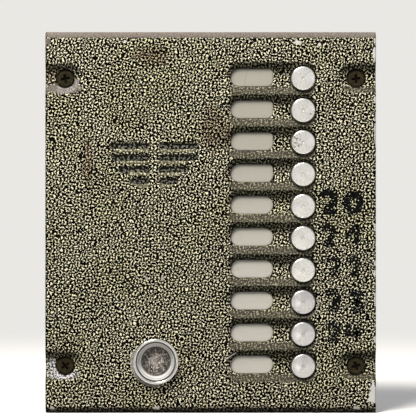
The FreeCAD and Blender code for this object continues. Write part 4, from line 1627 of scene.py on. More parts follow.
    def _front(self, x: np.ndarray, z: np.ndarray) -> np.ndarray:
        """Level of the painted skin: face plus edge roundings, troughs and opening roundings.

        A rounding of radius r drops by r - sqrt(r^2 - g^2), where g grows from 0 to r at the edge.

        Args:
            x: places across.
            z: places up.

        Returns:
            y at each place.
        """
        level = np.full(x.shape, FACE) + self._scoop(x, z)
        limits = ((z, self.half_height, self.bend_radius), (x, self.half_width, self.edge_radius))
        for place, limit, radius in limits:
            gain = np.clip(np.abs(place) - (limit - radius), 0, radius)
            level += radius - np.sqrt(radius ** 2 - gain ** 2)
        for hole, radius in self.holes:
            gain = np.clip(radius - hole.distance(x, z), 0, radius)
            level += radius - np.sqrt(radius ** 2 - gain ** 2)
        return level

    def _pads(self) -> list[Outline]:
        """Outlines of the thick places behind the troughs.

        Returns:
            The outlines.
        """
        margin = self.scoop_half + self.pad_margin
        left, right = self.scoop_left - margin, BUTTON_X + margin
        corner = (self.pad_corner,) * 4
        pads = [Outline((left + right) / 2, 0, (right - left) / 2, ROWS[0] + margin, corner)]
        near, far = FIXING_X - self.screw_inset - margin, self.half_width - self.wall / 2
        for side in (-1, 1):
            for z in (ROWS[0], ROWS[-1]):
                pads.append(Outline(side * (near + far) / 2, z, (far - near) / 2, margin, corner))
        return pads

    def _back(self, x: np.ndarray, z: np.ndarray) -> np.ndarray:
        """Level of the hollow back: thin wall, and thick pads with drafted sides."""
        away = np.min([pad.distance(x, z) for pad in self._pads()], axis=0)
        return FACE_BACK + (PAD - FACE_BACK) * np.clip(1 - away / self.draft, 0, 1)

    def _border_lines(self) -> tuple[np.ndarray, np.ndarray, np.ndarray, np.ndarray]:
        """Places of the net's lines near the edges, and all places of its two directions.

        Returns:
            Places across and up near the edges, then all places across and up.
        """
        turn = np.radians([0, 12, 24, 36, 48, 60])
        bend = np.concatenate([self.bend_radius * (1 - np.cos(turn)), [self.wall, self.bend_radius, 5.0]])
        round_turn = np.radians([0, 20, 40, 60, 90])
        edge = np.concatenate([self.edge_radius * (1 - np.cos(round_turn)), [1.4, self.wall]])
        up = self.half_height - bend
        across = self.half_width - edge
        fill_across, fill_up = (
            np.linspace(-line.min(), line.min(), count) for line, count in zip((across, up), self.lines)
        )
        all_up = np.unique(np.concatenate([up, -up, fill_up]))
        all_across = np.unique(np.concatenate([across, -across, fill_across]))
        return across, up, all_across, all_up

    def _scoop_lines(self) -> np.ndarray:
        """Points at constant distances from each trough's axis, off the openings.

        Returns:
            Array of (x, z).
        """
        follow = []
        for number, (start, end, row) in enumerate(self.axes):
            for away in np.array(self.scoop_steps) + self.thin:
                line = Outline((start + end) / 2, row, (end - start) / 2 + away, away, (away,) * 4)
                ring = line.loop(round(line.length() / self.scoop_spacing))
                gaps = self._axis_distances(ring[:, 0], ring[:, 1])
                follow.append(ring[gaps[number] <= gaps.min(axis=0) + 0.02])
        follow = np.concatenate(follow)
        inside = np.abs(follow[:, 0]) < self.half_width - self.wall - 0.6
        return self._clear(follow[inside], self.scoop_gap)

    def _grid(self) -> np.ndarray:
        """Hexagonal grid of points on the plain face, off the openings and the troughs.

        Returns:
            Array of (x, z).
        """
        pitch = self.grid_pitch
        right, top = self.half_width - self.grid_margins[0], self.half_height - self.grid_margins[1]
        columns = np.arange(-right, right, pitch)
        lines = np.arange(-top, top, pitch * self.grid_rise)
        grid = np.stack(np.meshgrid(columns, lines), -1)
        grid[1::2, :, 0] += pitch / 2
        grid = grid.reshape(-1, 2)
        calm = self._axis_distances(grid[:, 0], grid[:, 1]).min(axis=0) > self.grid_start
        inside = np.abs(grid[:, 0]) < self.half_width - self.bend_radius
        return self._clear(grid[calm & inside], self.grid_gap)

    def _net_points(self) -> tuple[list[np.ndarray], np.ndarray]:
        """Loops and points of the net.

        Rings follow each opening and each trough at constant distances, lines follow the
        rounded edges, and a hexagonal grid fills the plain face.

        Returns:
            Closed loops to keep, and the other points.
        """
        loops, rings = [], []
        for hole, radius in self.holes:
            count = int(np.clip(4 * round(hole.length() / self.hole_spacing / 4), 28, 96))
            loops.append(hole.loop(count))
            for share in self.rounding_steps:
                rings.append(hole.grown(radius * share).loop(count))
            rings.append(hole.grown(radius + self.hole_margin).loop(count))
        across, up, all_across, all_up = self._border_lines()
        inner_x, inner_z = self.half_width - self.wall, self.half_height - self.wall
        run_x = all_across[np.abs(all_across) <= inner_x + 1e-6]
        run_z = all_up[np.abs(all_up) <= inner_z + 1e-6]
        bottom = np.insert(run_x[:, None], 1, -inner_z, axis=1)
        right = np.insert(run_z[:, None], 0, inner_x, axis=1)
        loops.append(np.concatenate([side[:-1] for side in (bottom, right, -bottom, -right)]))
        for pad in self._pads():
            for grow in (0.0, self.draft):
                outline = pad.grown(grow)
                loops.append(outline.loop(4 * round(outline.length() / self.pad_spacing / 4)))
        edge_points = []
        for side in (-1, 1):
            edge_points.append(np.stack(np.meshgrid(side * across, all_up), -1).reshape(-1, 2))
            edge_points.append(np.stack(np.meshgrid(all_across, side * up), -1).reshape(-1, 2))
        return loops, np.concatenate([*rings, *edge_points, self._scoop_lines(), self._grid()])

    def _clear(self, points: np.ndarray, gap: float) -> np.ndarray:
        """Those points that keep a gap from every opening's rings.

        Args:
            points: array of (x, z).
            gap: the least gap.

        Returns:
            The points that stay.
        """
        keep = np.ones(len(points), bool)
        for hole, radius in self.holes:
            keep &= hole.distance(points[:, 0], points[:, 1]) > radius + gap
        return points[keep]

    def _skin(self) -> Shell:
        """Plate with its openings, edges and pads.

        Returns:
            The closed shell.
        """
        places, triangles = net(*self._net_points())
        middle = places[triangles].mean(axis=1)
        gap = np.min([hole.distance(middle[:, 0], middle[:, 1]) for hole, _ in self.holes], axis=0)
        kept = triangles[gap > 0]
        middle = middle[gap > 0]
        deep = (np.abs(middle[:, 0]) < self.half_width - self.wall)
        deep &= np.abs(middle[:, 1]) < self.half_height - self.wall
        x, z = places.T
        return plate(places, kept, deep, self._front(x, z), self._back(x, z), RIM)

    def _bosses(self) -> list[Shell]:
        """Screw bosses and round ribs on the back.

        Returns:
            A shell for each.
        """
        shells = []
        for x in (-FIXING_X, FIXING_X):
            for z in (ROWS[0], ROWS[-1]):
                shells.append(turned(x, z, softened([
                    (4.79, FLOOR + 0.05), (5.6, FLOOR + 0.4), (5.6, PAD - 0.6), (6.5, PAD - 0.6),
                    (6.5, RIM), (2.75, RIM), (2.75, FLOOR + 2.05),
                ], 0.3, True, 2), 40))
        bosses = [(x, z, PAD, CARRIER) for x in self.carrier_bosses
                  for z in (-4 * ROW_PITCH, 0.0, 4 * ROW_PITCH)]
        for turn in np.radians([60, 180, 300]):
            x = GRILLE_X + self.speaker_bosses * math.cos(turn)
            z = SPEAKER_Z + self.speaker_bosses * math.sin(turn)
            bosses.append((x, z, FACE_BACK, self.speaker_boss_end))
        for x, z, foot, end in bosses:
            shells.append(tube(x, z, self.boss_radii, (foot - self.boss_depth, end), 0.2, 32))
        foot = FACE_BACK - self.rib_depth
        shells.append(tube(GRILLE_X, SPEAKER_Z, self.speaker_rib, (foot, self.speaker_rib_end),
                           0.25, 128))
        shells.append(tube(GRILLE_X, MIC_Z, self.sound_rib, (foot, self.sound_rib_end), 0.25, 64))
        return shells

    def build(self) -> None:
        """Makes the panel and dresses it."""
        shell = joined([self._skin(), *self._bosses()])
        make_piece("painted_front", shell, VeinedPaint().material(), "panel",
                   ["front_panel"])


@dataclass
class FixingScrews:
    """Four countersunk screws: flat head with softened rim, cross recess with sloping walls."""

    head: float = 4.5
    shank: float = 2.5
    length: float = 22.0
    arm: float = 2.45
    arm_half: float = 0.7
    recess: float = 1.4
    wall_slope: float = 4.0
    rounding: float = 0.35
    head_depth: float = 1.75
    angles: tuple[float, ...] = (38.0, 12.0, 17.0, 8.0)

    def _cross(self, inset: float) -> np.ndarray:
        """Outline of the recess, smaller by an inset: twelve corners, softened.

        Args:
            inset: how much smaller.

        Returns:
            Array of (x, z).
        """
        long, half = self.arm - inset, self.arm_half - inset * 0.8
        quarter = np.array([[long, -half], [long, half], [half, half]])
        corners = [quarter @ rotation(turn) for turn in np.radians([0, 90, 180, 270])]
        return softened(np.concatenate(corners), 0.25, True, 3)

    def _screw(self, x: float, z: float, angle: float) -> Shell:
        """One screw: a disc net lowered inside the cross, carried back to the shank.

        Args:
            x: place across.
            z: place up.
            angle: turn of the recess in degrees.

        Returns:
            Closed shells of the head and the shank.
        """
        crosses = [self._cross(inset) for inset in (0.0, 0.12, 0.25, 0.36)]
        rim = Outline.round(0, 0, self.head)
        rings = [rim.grown(-gap).loop(72) for gap in (0.02, 0.08, 0.2, 0.35, 0.9, 1.6)]
        turns = np.linspace(0, 2 * math.pi, 20, endpoint=False)
        middle = np.stack([np.cos(turns), np.sin(turns)], 1) * 0.2
        places, triangles = net([rim.loop(72), *crosses], np.concatenate([*rings, middle]))
        away = rim.distance(places[:, 0], places[:, 1])
        gain = np.clip(self.rounding + away, 0, self.rounding)
        level = FLOOR + self.rounding - np.sqrt(self.rounding ** 2 - gain ** 2)
        flat = np.abs(places)
        arm_gap = np.maximum(flat.max(axis=1) - self.arm, (flat.min(axis=1) - self.arm_half) / 0.8)
        level += np.clip(-arm_gap * self.wall_slope, 0, self.recess)
        spun = places @ rotation(math.radians(angle)) + [x, z]
        deep = np.ones(len(triangles), bool)
        back = np.full(len(places), FLOOR + self.head_depth)
        head = plate(spun, triangles, deep, level, back, RIM)
        seat = self.head - self.shank
        grip = turned(x, z, softened([
            (0, FLOOR + 1.5), (self.head - 0.6, FLOOR + 1.5), (self.shank, FLOOR + seat + 0.6),
            (self.shank, FLOOR + self.length - 1.2), (self.shank - 1.0, FLOOR + self.length),
            (0, FLOOR + self.length),
        ], 0.2), 40)
        return joined([head, grip])

    def build(self) -> None:
        """Makes the four screws and dresses them."""
        places = [(x, z) for x in (-FIXING_X, FIXING_X) for z in (ROWS[-1], ROWS[0])]
        screws = [self._screw(x, z, angle) for (x, z), angle in zip(places, self.angles)]
        make_piece("black_fixing_screws", joined(screws), BlackScrew().material(), "panel",
                   ["fixing_screws"])


@dataclass
class CallButtons:
    """Ten turned caps with a crowned face, chamfered edge and centre pip."""

    radius: float = 6.4
    top: float = -13.6
    crown: float = 0.25
    face_radius: float = 5.55
    pip: float = 0.7
    pip_depth: float = 0.3
    flange: float = 7.8
    flange_front: float = -6.85
    flange_back: float = -5.85
    stem: float = 2.5
    stem_end: float = 0.55
    edge_drop: float = 0.9
    bright_rows: int = 7

    def _profile(self) -> np.ndarray:
        """Half section: the face rises as top + crown (r / face)^2, then the edge turns in an arc.

        Returns:
            Array of (radius, y).
        """
        pip = np.array([[0, self.top + self.pip_depth], [0.12, self.top + self.pip_depth * 0.95],
                        [0.62, self.top + 0.04], [0.78, self.top + 0.005]])
        out = np.linspace(1.0, self.face_radius, 12)
        face = np.stack([out, self.top + self.crown * (out / self.face_radius) ** 2], 1)
        start = self.top + self.crown
        turn = np.linspace(0.15, 1.0, 6) * math.pi / 2
        width, drop = self.radius - self.face_radius, self.edge_drop
        edge = np.stack([
            self.face_radius + width * np.sin(turn), start + drop * (1 - np.cos(turn)),
        ], 1)
        back = softened([
            (self.radius, start + drop + 0.2), (self.radius, self.flange_front),
            (self.flange, self.flange_front), (self.flange, self.flange_back),
            (self.stem, self.flange_back), (self.stem, self.stem_end), (0, self.stem_end),
        ], 0.2, False, 2)
        return np.concatenate([pip, face, edge, back])

    def build(self) -> None:
        """Makes the ten buttons and dresses them; the lower ones are duller."""
        bright = ButtonMetal("turned_button_metal").material()
        dull = ButtonMetal("worn_button_metal", (190, 188, 187), (96, 90, 82), 0.28,
                           sheen=0.34).material()
        profile = self._profile()
        for row, z in enumerate(ROWS, start=1):
            shell = turned(BUTTON_X, z, profile)
            make_piece(f"turned_cap_{row:02d}", shell, dull if row > self.bright_rows else bright,
                       f"button_{row:02d}", [f"call_button_{row:02d}"], 50)


@dataclass
class NameWindows:
    """Ten milky lenses with softened edges and a flange behind the panel."""

    clearance: float = 0.1
    front: float = -9.75
    rounding: float = 0.35
    flange: float = 1.6
    flange_back: float = -6.0
    points_round: int = 96

    def _lens(self, opening: Outline) -> Shell:
        """Lens under its opening: rings shrink by r (1 - cos t) as they rise by r sin t.

        Args:
            opening: outline of the panel's opening.

        Returns:
            The closed shell.
        """
        edge = opening.grown(-self.clearance)
        levels = [(edge.grown(-3.2), self.front), (edge.grown(-1.2), self.front)]
        for turn in np.radians([90, 60, 30, 0]):
            shrink = self.rounding * (1 - math.cos(turn))
            drop = self.rounding * (1 - math.sin(turn))
            levels.append((edge.grown(-shrink), self.front + drop))
        flange = Outline(opening.x, opening.z, opening.half_x + self.flange,
                         opening.half_z + self.flange, (0.8,) * 4)
        levels += [(edge, PAD), (flange.grown(-0.15), PAD), (flange, PAD + 0.15)]
        levels += [(flange, self.flange_back - 0.15), (flange.grown(-0.15), self.flange_back)]
        return lofted(levels, self.points_round)

    def build(self, openings: Sequence[Outline]) -> None:
        """Makes the ten windows and dresses them.

        Args:
            openings: the panel's openings from the top row to the last.
        """
        milky = MilkyWindow().material()
        for row, opening in enumerate(openings, start=1):
            make_piece(f"milky_lens_{row:02d}", self._lens(opening), milky, "panel",
                       [f"name_window_{row:02d}"])


@dataclass
class KeyReader:
    """Key reader: polished bezel with a rounded rim and a cup, insulator ring, worn contact."""

    rim_radius: float = 12.15
    rim_top: float = -14.6
    rim_width: float = 1.55
    groove: float = 0.5
    groove_depth: float = 0.9
    mouth: float = 9.8
    cup_floor: float = 7.7
    cup_level: float = -9.6
    barrel: float = 9.5
    bore: float = 8.2
    back: float = -2.6
    core_radii: Pair = (4.93, 8.15)
    core_step: float = 7.62
    core_stem: float = 1.31
    contact_front: float = -10.0
    contact_back: float = -9.0
    contact_radius: float = 4.84
    contact_stem: float = 1.25
    clip_groove: tuple[float, ...] = (0.8, -2.4, -1.8)
    contact_end: float = -1.2
    spring_seat: float = -7.9
    spring_radii: Pair = (1.55, 4.5)
    spring_sheet: float = 0.25
    spring_keep: float = 0.27

    def _bezel(self) -> Shell:
        """Bezel: the rim is a half circle, then groove, shoulder, sloping cup and barrel.

        Returns:
            The closed shell.
        """
        half = self.rim_width / 2
        turn = np.linspace(0, math.pi, 13)
        crest = np.stack([
            self.rim_radius - half + half * np.cos(turn), self.rim_top + half - half * np.sin(turn),
        ], 1)
        inner = self.rim_radius - self.rim_width
        valley = self.rim_top + self.groove_depth
        rest = softened([
            (inner, self.rim_top + half), (inner, valley), (inner - self.groove, valley),
            (self.mouth, self.rim_top + self.groove_depth / 2),
            (self.cup_floor, self.cup_level - 0.3), (self.cup_floor, self.cup_level),
            (self.bore, self.cup_level), (self.bore, self.back), (self.barrel, self.back),
            (self.barrel, FACE), (self.rim_radius, FACE), (self.rim_radius, self.rim_top + half),
        ], 0.16, False, 3)
        return turned(READER_X, READER_Z, np.concatenate([crest, rest[1:-1]]), 144)

    def build(self) -> None:
        """Makes the reader's pieces and dresses them."""
        chrome = ReaderMetal("polished_reader_ring", (196, 195, 192), (96, 88, 76), 0.16, 0.5,
                             0.002, 0.66, self.mouth + 0.1).material()
        make_piece("polished_bezel", self._bezel(), chrome, "panel",
                   ["reader_bezel"], 45)
        (inner, outer), step, stem = self.core_radii, self.core_step, self.core_stem
        top, shoulder = self.cup_level - 0.3, self.cup_level + 0.02
        core = turned(READER_X, READER_Z, softened([
            (inner, top), (step, top), (step, shoulder), (outer, shoulder), (outer, self.back),
            (stem, self.back), (stem, self.spring_seat), (inner, self.spring_seat),
        ], 0.08, True, 3), 96)
        soiled = WornContact("soiled_reader_core", 0.0).material()
        make_piece("moulded_core", core, soiled, "panel", ["reader_insulator"])
        front, back, end = self.contact_front, self.contact_back, self.contact_end
        radius, stem, (groove, near, far) = self.contact_radius, self.contact_stem, self.clip_groove
        disc = turned(READER_X, READER_Z, np.concatenate([
            [[0, front + 0.1], [1.2, front + 0.08], [3.0, front + 0.02]],
            softened([
                (3.2, front), (radius, front), (radius, back), (stem, back), (stem, near),
                (groove, near), (groove, far), (stem, far), (stem, end), (0, end),
            ], 0.08, False, 3),
        ]), 96)
        make_piece("worn_contact", disc, WornContact().material(), "contact",
                   ["reader_contact"], 45)
        self._spring()

    def _spring(self) -> None:
        """Cone-shaped disc spring behind the contact."""
        steel = PlainFinish("spring_steel", (150, 150, 150), (186, 186, 184), Texture.BRUSHED,
                            0.3, 1.0).material()
        (inner, outer), thick = self.spring_radii, self.spring_sheet
        top, seat = self.contact_back, self.spring_seat
        spring = turned(READER_X, READER_Z, softened([
            (inner, top), (inner + thick, top), (outer, seat - thick), (outer, seat),
            (outer - thick, seat), (inner, top + thick),
        ], 0.05, True, 2), 72)
        piece = make_piece("flattening_spring", spring, steel, "panel",
                           ["contact_spring"])
        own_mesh(piece)


@dataclass
class KeyMat:
    """Silicone strip and its ten domes."""

    half_width: float = 7.5
    dome: float = 5.4
    dome_top: float = 3.1
    front: float = 0.65
    base: float = 3.25
    keep: float = 0.6

    def build(self) -> None:
        """Makes the strip and the domes and dresses them."""
        rubber = PlainFinish("mat_silicone", (176, 178, 176), (150, 152, 150), Texture.RUBBER,
                             0.6, 0.0, 0.8).material()
        hole = self.dome - 0.05
        strip = Outline(BUTTON_X, 0, self.half_width, ROWS[0] + self.half_width, (1.5,) * 4)
        holes = [Outline.round(BUTTON_X, z, hole) for z in ROWS]
        edge_loop = strip.loop(240)
        places, triangles = net([edge_loop, *[ring.loop(48) for ring in holes]],
                                np.concatenate([ring.grown(0.5).loop(48) for ring in holes]))
        middle = places[triangles].mean(axis=1)
        gap = np.min([ring.distance(middle[:, 0], middle[:, 1]) for ring in holes], axis=0)
        inside = strip.distance(middle[:, 0], middle[:, 1]) < 0
        kept = triangles[(gap > 0) & inside]
        front, back = (np.full(len(places), level) for level in (self.base, BOARD))
        base = plate(places, kept, np.ones(len(kept), bool), front, back, BOARD)
        make_piece("silicone_strip", base, rubber, "panel", ["key_mat"])
        profile = softened([
            (0, self.front), (self.dome_top, self.front), (self.dome, self.base), (self.dome, BOARD),
            (self.dome - 1.0, BOARD), (self.dome_top - 0.5, self.front + 1.3), (0, self.front + 1.3),
        ], 0.35, False, 3)
        for row, z in enumerate(ROWS, start=1):
            dome = make_piece(f"silicone_dome_{row:02d}", turned(BUTTON_X, z, profile, 48), rubber,
                              "panel", ["key_mat"])
            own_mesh(dome)


@dataclass
class SpeakerFront:
    """Cloth stretched behind the grille, and the foam ring that holds it."""

    cloth_radius: float = 28.0
    cloth_front: float = -9.2
    cloth_back: float = -8.9
    foam_outer: float = 28.5
    foam_inner: float = 25.2
    foam_back: float = -7.6
    foam_power: float = 0.35
    sag: float = 0.04

    def _cloth(self) -> Shell:
        """Disc of rings and spokes: the cloth bows back by b (1 - (r / R)^2) between its threads.

        Returns:
            The closed shell.
        """
        radius = np.linspace(0, self.cloth_radius, 57)
        turns = np.linspace(0, 2 * math.pi, 180, endpoint=False)
        x = radius[:, None] * np.cos(turns)
        z = radius[:, None] * np.sin(turns)
        share = 1 - (radius[:, None] / self.cloth_radius) ** 2
        sag = self.sag * np.cos(x * 0.9) * np.cos(z * 1.1) * share
        front, back = (
            np.stack([GRILLE_X + x, level + sag, SPEAKER_Z + z], -1)
            for level in (self.cloth_front + 0.05, self.cloth_back - 0.05)
        )
        grid = np.concatenate([front, back[::-1]])
        index = np.arange(grid.shape[0] * grid.shape[1]).reshape(grid.shape[:2])
        index[0] = index[0, 0]
        index[-1] = index[-1, 0]
        return Shell(grid.reshape(-1, 3), strips(index, False)).outward()

    def build(self) -> None:
        """Makes the cloth and the foam ring and dresses them."""
        cloth = make_piece("woven_dust_cloth", self._cloth(), WovenCloth().material(), "panel",
                           ["speaker_cloth"])
        foam = PlainFinish("foam_rubber", (58, 57, 56), (34, 33, 33), Texture.SINTERED, 0.85, 0.0,
                           0.8, 0.12).material()
        middle = (self.foam_outer + self.foam_inner) / 2
        half = (self.foam_outer - self.foam_inner) / 2
        level = (self.cloth_back + self.foam_back) / 2
        thick = (self.foam_back - self.cloth_back) / 2
        turn = np.linspace(0, 2 * math.pi, 24, endpoint=False)
        round_part = np.stack([np.cos(turn), np.sin(turn)], 1)
        bulge = np.sign(round_part) * np.abs(round_part) ** self.foam_power
        bulge = [middle, level] + [half, thick] * bulge
        ring = make_piece("foam_ring", turned(GRILLE_X, SPEAKER_Z, bulge, 96), foam, "panel",
                          ["speaker_gasket"])


@dataclass(frozen=True)
class PenStroke:
    """One pen stroke: corner points that a smooth line passes between, in a box 1 wide and 1 high."""

    points: tuple

    def line(self) -> np.ndarray:
        """Points along the stroke: the spline of degree 3 through the points' neighbourhoods.

        Returns:
            Array of (across, up).
        """
        knots = np.asarray(self.points, float)
        ends = [2 * knots[0] - knots[1], 2 * knots[-1] - knots[-2]]
        padded = np.concatenate([[ends[0]], knots, [ends[1]]])
        t = np.linspace(0, 1, 9)[:-1, None]
        spans = []
        for a, b, c, d in zip(padded, padded[1:], padded[2:], padded[3:]):
            spans.append(0.5 * (2 * b + (c - a) * t + (2 * a - 5 * b + 4 * c - d) * t ** 2
                                + (3 * b - a - 3 * c + d) * t ** 3))
        return np.concatenate([*spans, knots[-1:]])


DIGITS = {
    "0": (PenStroke(((0.5, 1.0), (0.1, 0.75), (0.02, 0.35), (0.4, 0.02), (0.85, 0.15), (1.0, 0.58),
                     (0.8, 0.92), (0.4, 1.0))),),
    "1": (PenStroke(((0.0, 0.38), (0.42, 0.68), (0.95, 1.0))),
          PenStroke(((0.95, 0.98), (0.88, 0.5), (0.8, 0.0)))),
    "2": (PenStroke(((0.0, 0.74), (0.3, 0.98), (0.75, 0.93), (0.95, 0.66), (0.72, 0.36), (0.42, 0.14))),
          PenStroke(((0.1, 0.02), (0.55, 0.04), (1.12, 0.02)))),
    "3": (PenStroke(((0.05, 0.9), (0.45, 1.0), (0.85, 0.84), (0.62, 0.58), (0.3, 0.52), (0.8, 0.44),
                     (1.0, 0.2), (0.6, 0.0), (0.15, 0.1))),),
    "4": (PenStroke(((0.2, 1.0), (0.1, 0.7), (0.0, 0.42), (0.5, 0.38), (1.0, 0.4))),
          PenStroke(((0.72, 0.95), (0.8, 0.5), (0.84, 0.0)))),
}


@dataclass
class MarkerNumbers:
    """Flat numbers written by hand beside the buttons, as thin films of ink."""

    film: float = 0.035
    lift: float = 0.005
    narrowing: float = 0.88
    numbers: tuple = (
        ("20", 1.75, ((58.9, 5.2, 7.5, 10.8), (72.3, 5.8, 7.3, 9.6))),
        ("21", 1.5, ((59.4, -12.0, 6.2, 10.3), (72.2, -12.2, 6.4, 10.8))),
        ("22", 1.5, ((62.4, -28.0, 5.4, 8.8), (73.6, -28.0, 5.2, 8.8))),
        ("23", 1.65, ((62.2, -46.0, 5.8, 8.8), (74.2, -47.0, 5.8, 9.6))),
        ("24", 1.6, ((61.6, -63.0, 6.0, 8.6), (72.6, -62.6, 6.6, 8.4))),
    )

    def _ribbon(self, line: np.ndarray, stroke_half: float) -> Shell:
        """Film along a line: four rails beside it, closed at both ends.

        The rails lie at the distance w across the line, where w narrows at the ends as the
        root of 1 - s^2, so the stroke ends round.

        Args:
            line: (x, z) points along the stroke.
            stroke_half: half the pen's width.

        Returns:
            The closed shell.
        """
        step = np.gradient(line, axis=0)
        step /= np.linalg.norm(step, axis=1, keepdims=True)
        side = np.stack([-step[:, 1], step[:, 0]], 1)
        runs = np.concatenate([[0], np.cumsum(np.linalg.norm(np.diff(line, axis=0), axis=1))])
        near = np.clip(np.minimum(runs, runs[-1] - runs) / stroke_half, 0, 1)
        width = stroke_half * np.sqrt(np.clip(1 - (1 - near) ** 2, 0.04, 1))
        width *= 1 + 0.1 * np.sin(runs * 1.7)
        side *= width[:, None]
        under, over = FACE - self.lift, FACE - self.lift - self.film
        rails = [(1.0, under), (self.narrowing, over), (-self.narrowing, over), (-1.0, under)]
        grid = np.stack([np.insert(line + side * share, 1, level, axis=1) for share, level in rails], 1)
        count = len(line)
        index = np.arange(count * 4).reshape(count, 4)
        faces = [*strips(index, False), index[:1, ::-1], index[-1:]]
        return Shell(grid.reshape(-1, 3), faces).outward()

    def build(self) -> None:
        """Makes the five numbers and dresses them."""
        ink = MarkerInk().material()
        for text, stroke_half, boxes in self.numbers:
            shells = []
            for digit, (x, z, width, height) in zip(text, boxes):
                for stroke in DIGITS[digit]:
                    line = stroke.line() * [width, height] + [x, z]
                    shells.append(self._ribbon(line, stroke_half))
            make_piece(f"pen_number_{text}", joined(shells), ink, "panel")


# Parts carried over from the frame

@dataclass
class InnerParts:
    """CAD parts that keep their shape, each with its own finish."""

    finishes: dict = field(default_factory=lambda: {
        PlainFinish("gasket_rubber", (44, 44, 45), (70, 69, 67), Texture.RUBBER, 0.75): (
            "panel_gasket", "cable_grommet", "microphone_boot"),
        PlainFinish("galvanised_steel", (138, 141, 142), (182, 184, 184), Texture.SHEET, 0.42, 0.85): (
            "box_back", "box_left", "box_right", "box_top", "box_bottom", "box_ears"),
        PlainFinish("card_paper", (226, 219, 200), (206, 197, 174), Texture.FIBRE, 0.8): (
            "name_cards",),
        PlainFinish("carrier_plastic", (188, 186, 178), (170, 167, 158), Texture.MOULDED, 0.5): (
            "button_carrier",),
        PlainFinish("zinc_plate", (190, 190, 186), (150, 149, 142), Texture.PLATED, 0.32, 1.0): (
            "carrier_screws", "board_screws", "clip_screws", "terminal_screws", "reader_washer"),
        PlainFinish("board_laminate", (34, 74, 44), (86, 122, 70), Texture.TRACKS, 0.4, 0.0, 1.0, 0.04): (
            "circuit_board",),
        PlainFinish("lamp_plastic", (236, 214, 160), (250, 236, 200), Texture.MOULDED, 0.25): (
            "label_lamps",),
        PlainFinish("chip_plastic", (30, 30, 32), (46, 46, 48), Texture.SINTERED, 0.55): (
            "amplifier_chip", "controller_chip"),
        PlainFinish("capacitor_sleeve", (30, 44, 84), (44, 60, 104), Texture.MOULDED, 0.35): (
            "capacitors",),
        PlainFinish("terminal_plastic", (52, 96, 70), (64, 110, 82), Texture.MOULDED, 0.45): (
            "terminal_block",),
        PlainFinish("pressed_steel", (146, 148, 148), (176, 178, 178), Texture.BRUSHED, 0.4, 0.9): (
            "speaker_frame", "speaker_clips", "contact_clip"),
        PlainFinish("magnet_ferrite", (48, 47, 48), (70, 68, 68), Texture.SINTERED, 0.6): (
            "speaker_magnet",),
        PlainFinish("cone_paper", (40, 38, 36), (66, 62, 58), Texture.FIBRE, 0.85, 0.0, 1.2, 0.06): (
            "speaker_cone",),
        PlainFinish("microphone_can", (196, 196, 192), (166, 166, 162), Texture.PLATED, 0.3, 1.0): (
            "microphone",),
        PlainFinish("nut_brass", (196, 160, 92), (160, 126, 66), Texture.PLATED, 0.34, 1.0): (
            "reader_nut",),
    })

    def dress(self, nodes: dict[str, bpy.types.Object]) -> None:
        """Gives every carried part its finish.

        Args:
            nodes: CAD parts by name.
        """
        for finish, names in self.finishes.items():
            material = finish.material()
            for name in names:
                mesh = nodes[name].data
                mesh.materials.clear()
                mesh.materials.append(material)
                log.info("%s: %s", name, finish.name)


# Studio

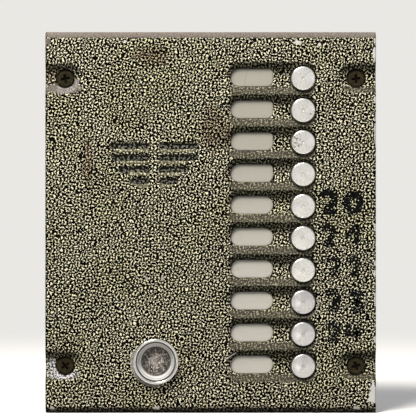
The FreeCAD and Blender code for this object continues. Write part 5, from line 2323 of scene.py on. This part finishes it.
@dataclass
class Studio:
    """Pale floor, soft lamps, pale world and the photograph's camera."""

    backdrop: Tone = (234, 232, 228)
    floor_tones: tuple[Tone, Tone] = ((228, 226, 222), (236, 234, 230))
    sky: Tone = (222, 228, 236)
    floor_level: float = -101.6
    floor_half: float = 6000.0
    lens: float = 162.7
    eye: Triple = (-1.4, -1012.0, 7.55)
    bounce: Tone = (120, 118, 114)
    world_light: float = 0.14
    fade: Pair = (160.0, 700.0)

    def _floor(self) -> None:
        """Floor whose far part fades into the backdrop's colour."""
        material = bpy.data.materials.new("studio_floor")
        board = NodeBoard(material)
        x, y, _ = board.axes
        away = (x * x + y * y) ** 0.5
        seen = board.seen()
        share = seen * board.step(away, *self.fade)
        tone = board.layered(self.floor_tones[0], (board.noise(40.0, 2.0), self.floor_tones[1]))
        tone = board.layered(self.bounce, (seen, tone))
        matt = board.node("ShaderNodeBsdfDiffuse", None, {"Color": tone})
        glow = board.node("ShaderNodeEmission", None, {"Color": srgb(*self.backdrop)})
        mixed = board.node("ShaderNodeMixShader", None, {0: share, 1: matt, 2: glow})
        board.node("ShaderNodeOutputMaterial", None, {"Surface": mixed})
        half, level = self.floor_half * MM, self.floor_level * MM
        mesh = bpy.data.meshes.new("studio_floor")
        corners = [(-half, -half, level), (half, -half, level), (half, half, level),
                   (-half, half, level)]
        mesh.from_pydata(corners, [], [(0, 1, 2, 3)])
        mesh.materials.append(material)
        floor = bpy.data.objects.new("studio_floor", mesh)
        bpy.context.scene.collection.objects.link(floor)

    def _world(self) -> None:
        """World that looks like the backdrop and lights the object softly."""
        world = bpy.data.worlds.new("studio_world")
        bpy.context.scene.world = world
        board = NodeBoard(world)
        soft = board.node("ShaderNodeBackground", None,
                          {"Color": srgb(*self.sky), "Strength": self.world_light})
        pale = board.node("ShaderNodeBackground", None, {"Color": srgb(*self.backdrop)})
        mixed = board.node("ShaderNodeMixShader", None, {0: board.seen(), 1: soft, 2: pale})
        board.node("ShaderNodeOutputWorld", None, {"Surface": mixed})

    @staticmethod
    def _lamp(name: str, place: tuple, size: float, power: float, tone: tuple) -> None:
        """Square area lamp aimed at the middle of the panel.

        Args:
            name: the lamp's name.
            place: where it stands, in millimetres.
            size: its side in millimetres.
            power: watts.
            tone: its colour of 0 to 255.
        """
        data = bpy.data.lights.new(name, "AREA")
        data.shape = "SQUARE"
        data.size = size * MM
        data.energy = power
        data.color = srgb(*tone)[:3]
        lamp = bpy.data.objects.new(name, data)
        lamp.location = Vector(place) * MM
        lamp.rotation_euler = (-lamp.location).to_track_quat("-Z", "Y").to_euler()
        bpy.context.scene.collection.objects.link(lamp)

    def _camera(self) -> None:
        """Camera square to the front, as the photograph was taken."""
        data = bpy.data.cameras.new("front_camera")
        data.sensor_width = 36.0
        data.lens = self.lens
        camera = bpy.data.objects.new("front_camera", data)
        camera.location = Vector(self.eye) * MM
        camera.rotation_euler = (math.pi / 2, 0, 0)
        bpy.context.scene.collection.objects.link(camera)
        bpy.context.scene.camera = camera

    def build(self) -> None:
        """Sets up the floor, lamps, world and camera."""
        bpy.context.scene.view_settings.view_transform = "Standard"
        self._floor()
        self._world()
        self._lamp("key_lamp", (-420.0, -620.0, 1150.0), 560.0, 38.0, (255, 252, 246))
        self._lamp("fill_lamp", (700.0, -1300.0, 300.0), 900.0, 2.0, (244, 248, 255))
        self._lamp("back_lamp", (500.0, 1200.0, 900.0), 900.0, 14.0, (250, 250, 255))
        self._camera()


def main() -> None:
    """Builds and dresses the whole call panel."""
    logging.basicConfig(level=logging.INFO, format="%(name)s %(message)s")
    Studio().build()
    panel = CastPanel()
    panel.build()
    FixingScrews().build()
    CallButtons().build()
    openings = [hole for hole, _ in panel.holes[:2 * len(ROWS):2]]
    NameWindows().build(openings)
    KeyReader().build()
    KeyMat().build()
    SpeakerFront().build()
    MarkerNumbers().build()
    InnerParts().dress(frame["nodes"])


if __name__ == "__main__":
    main()
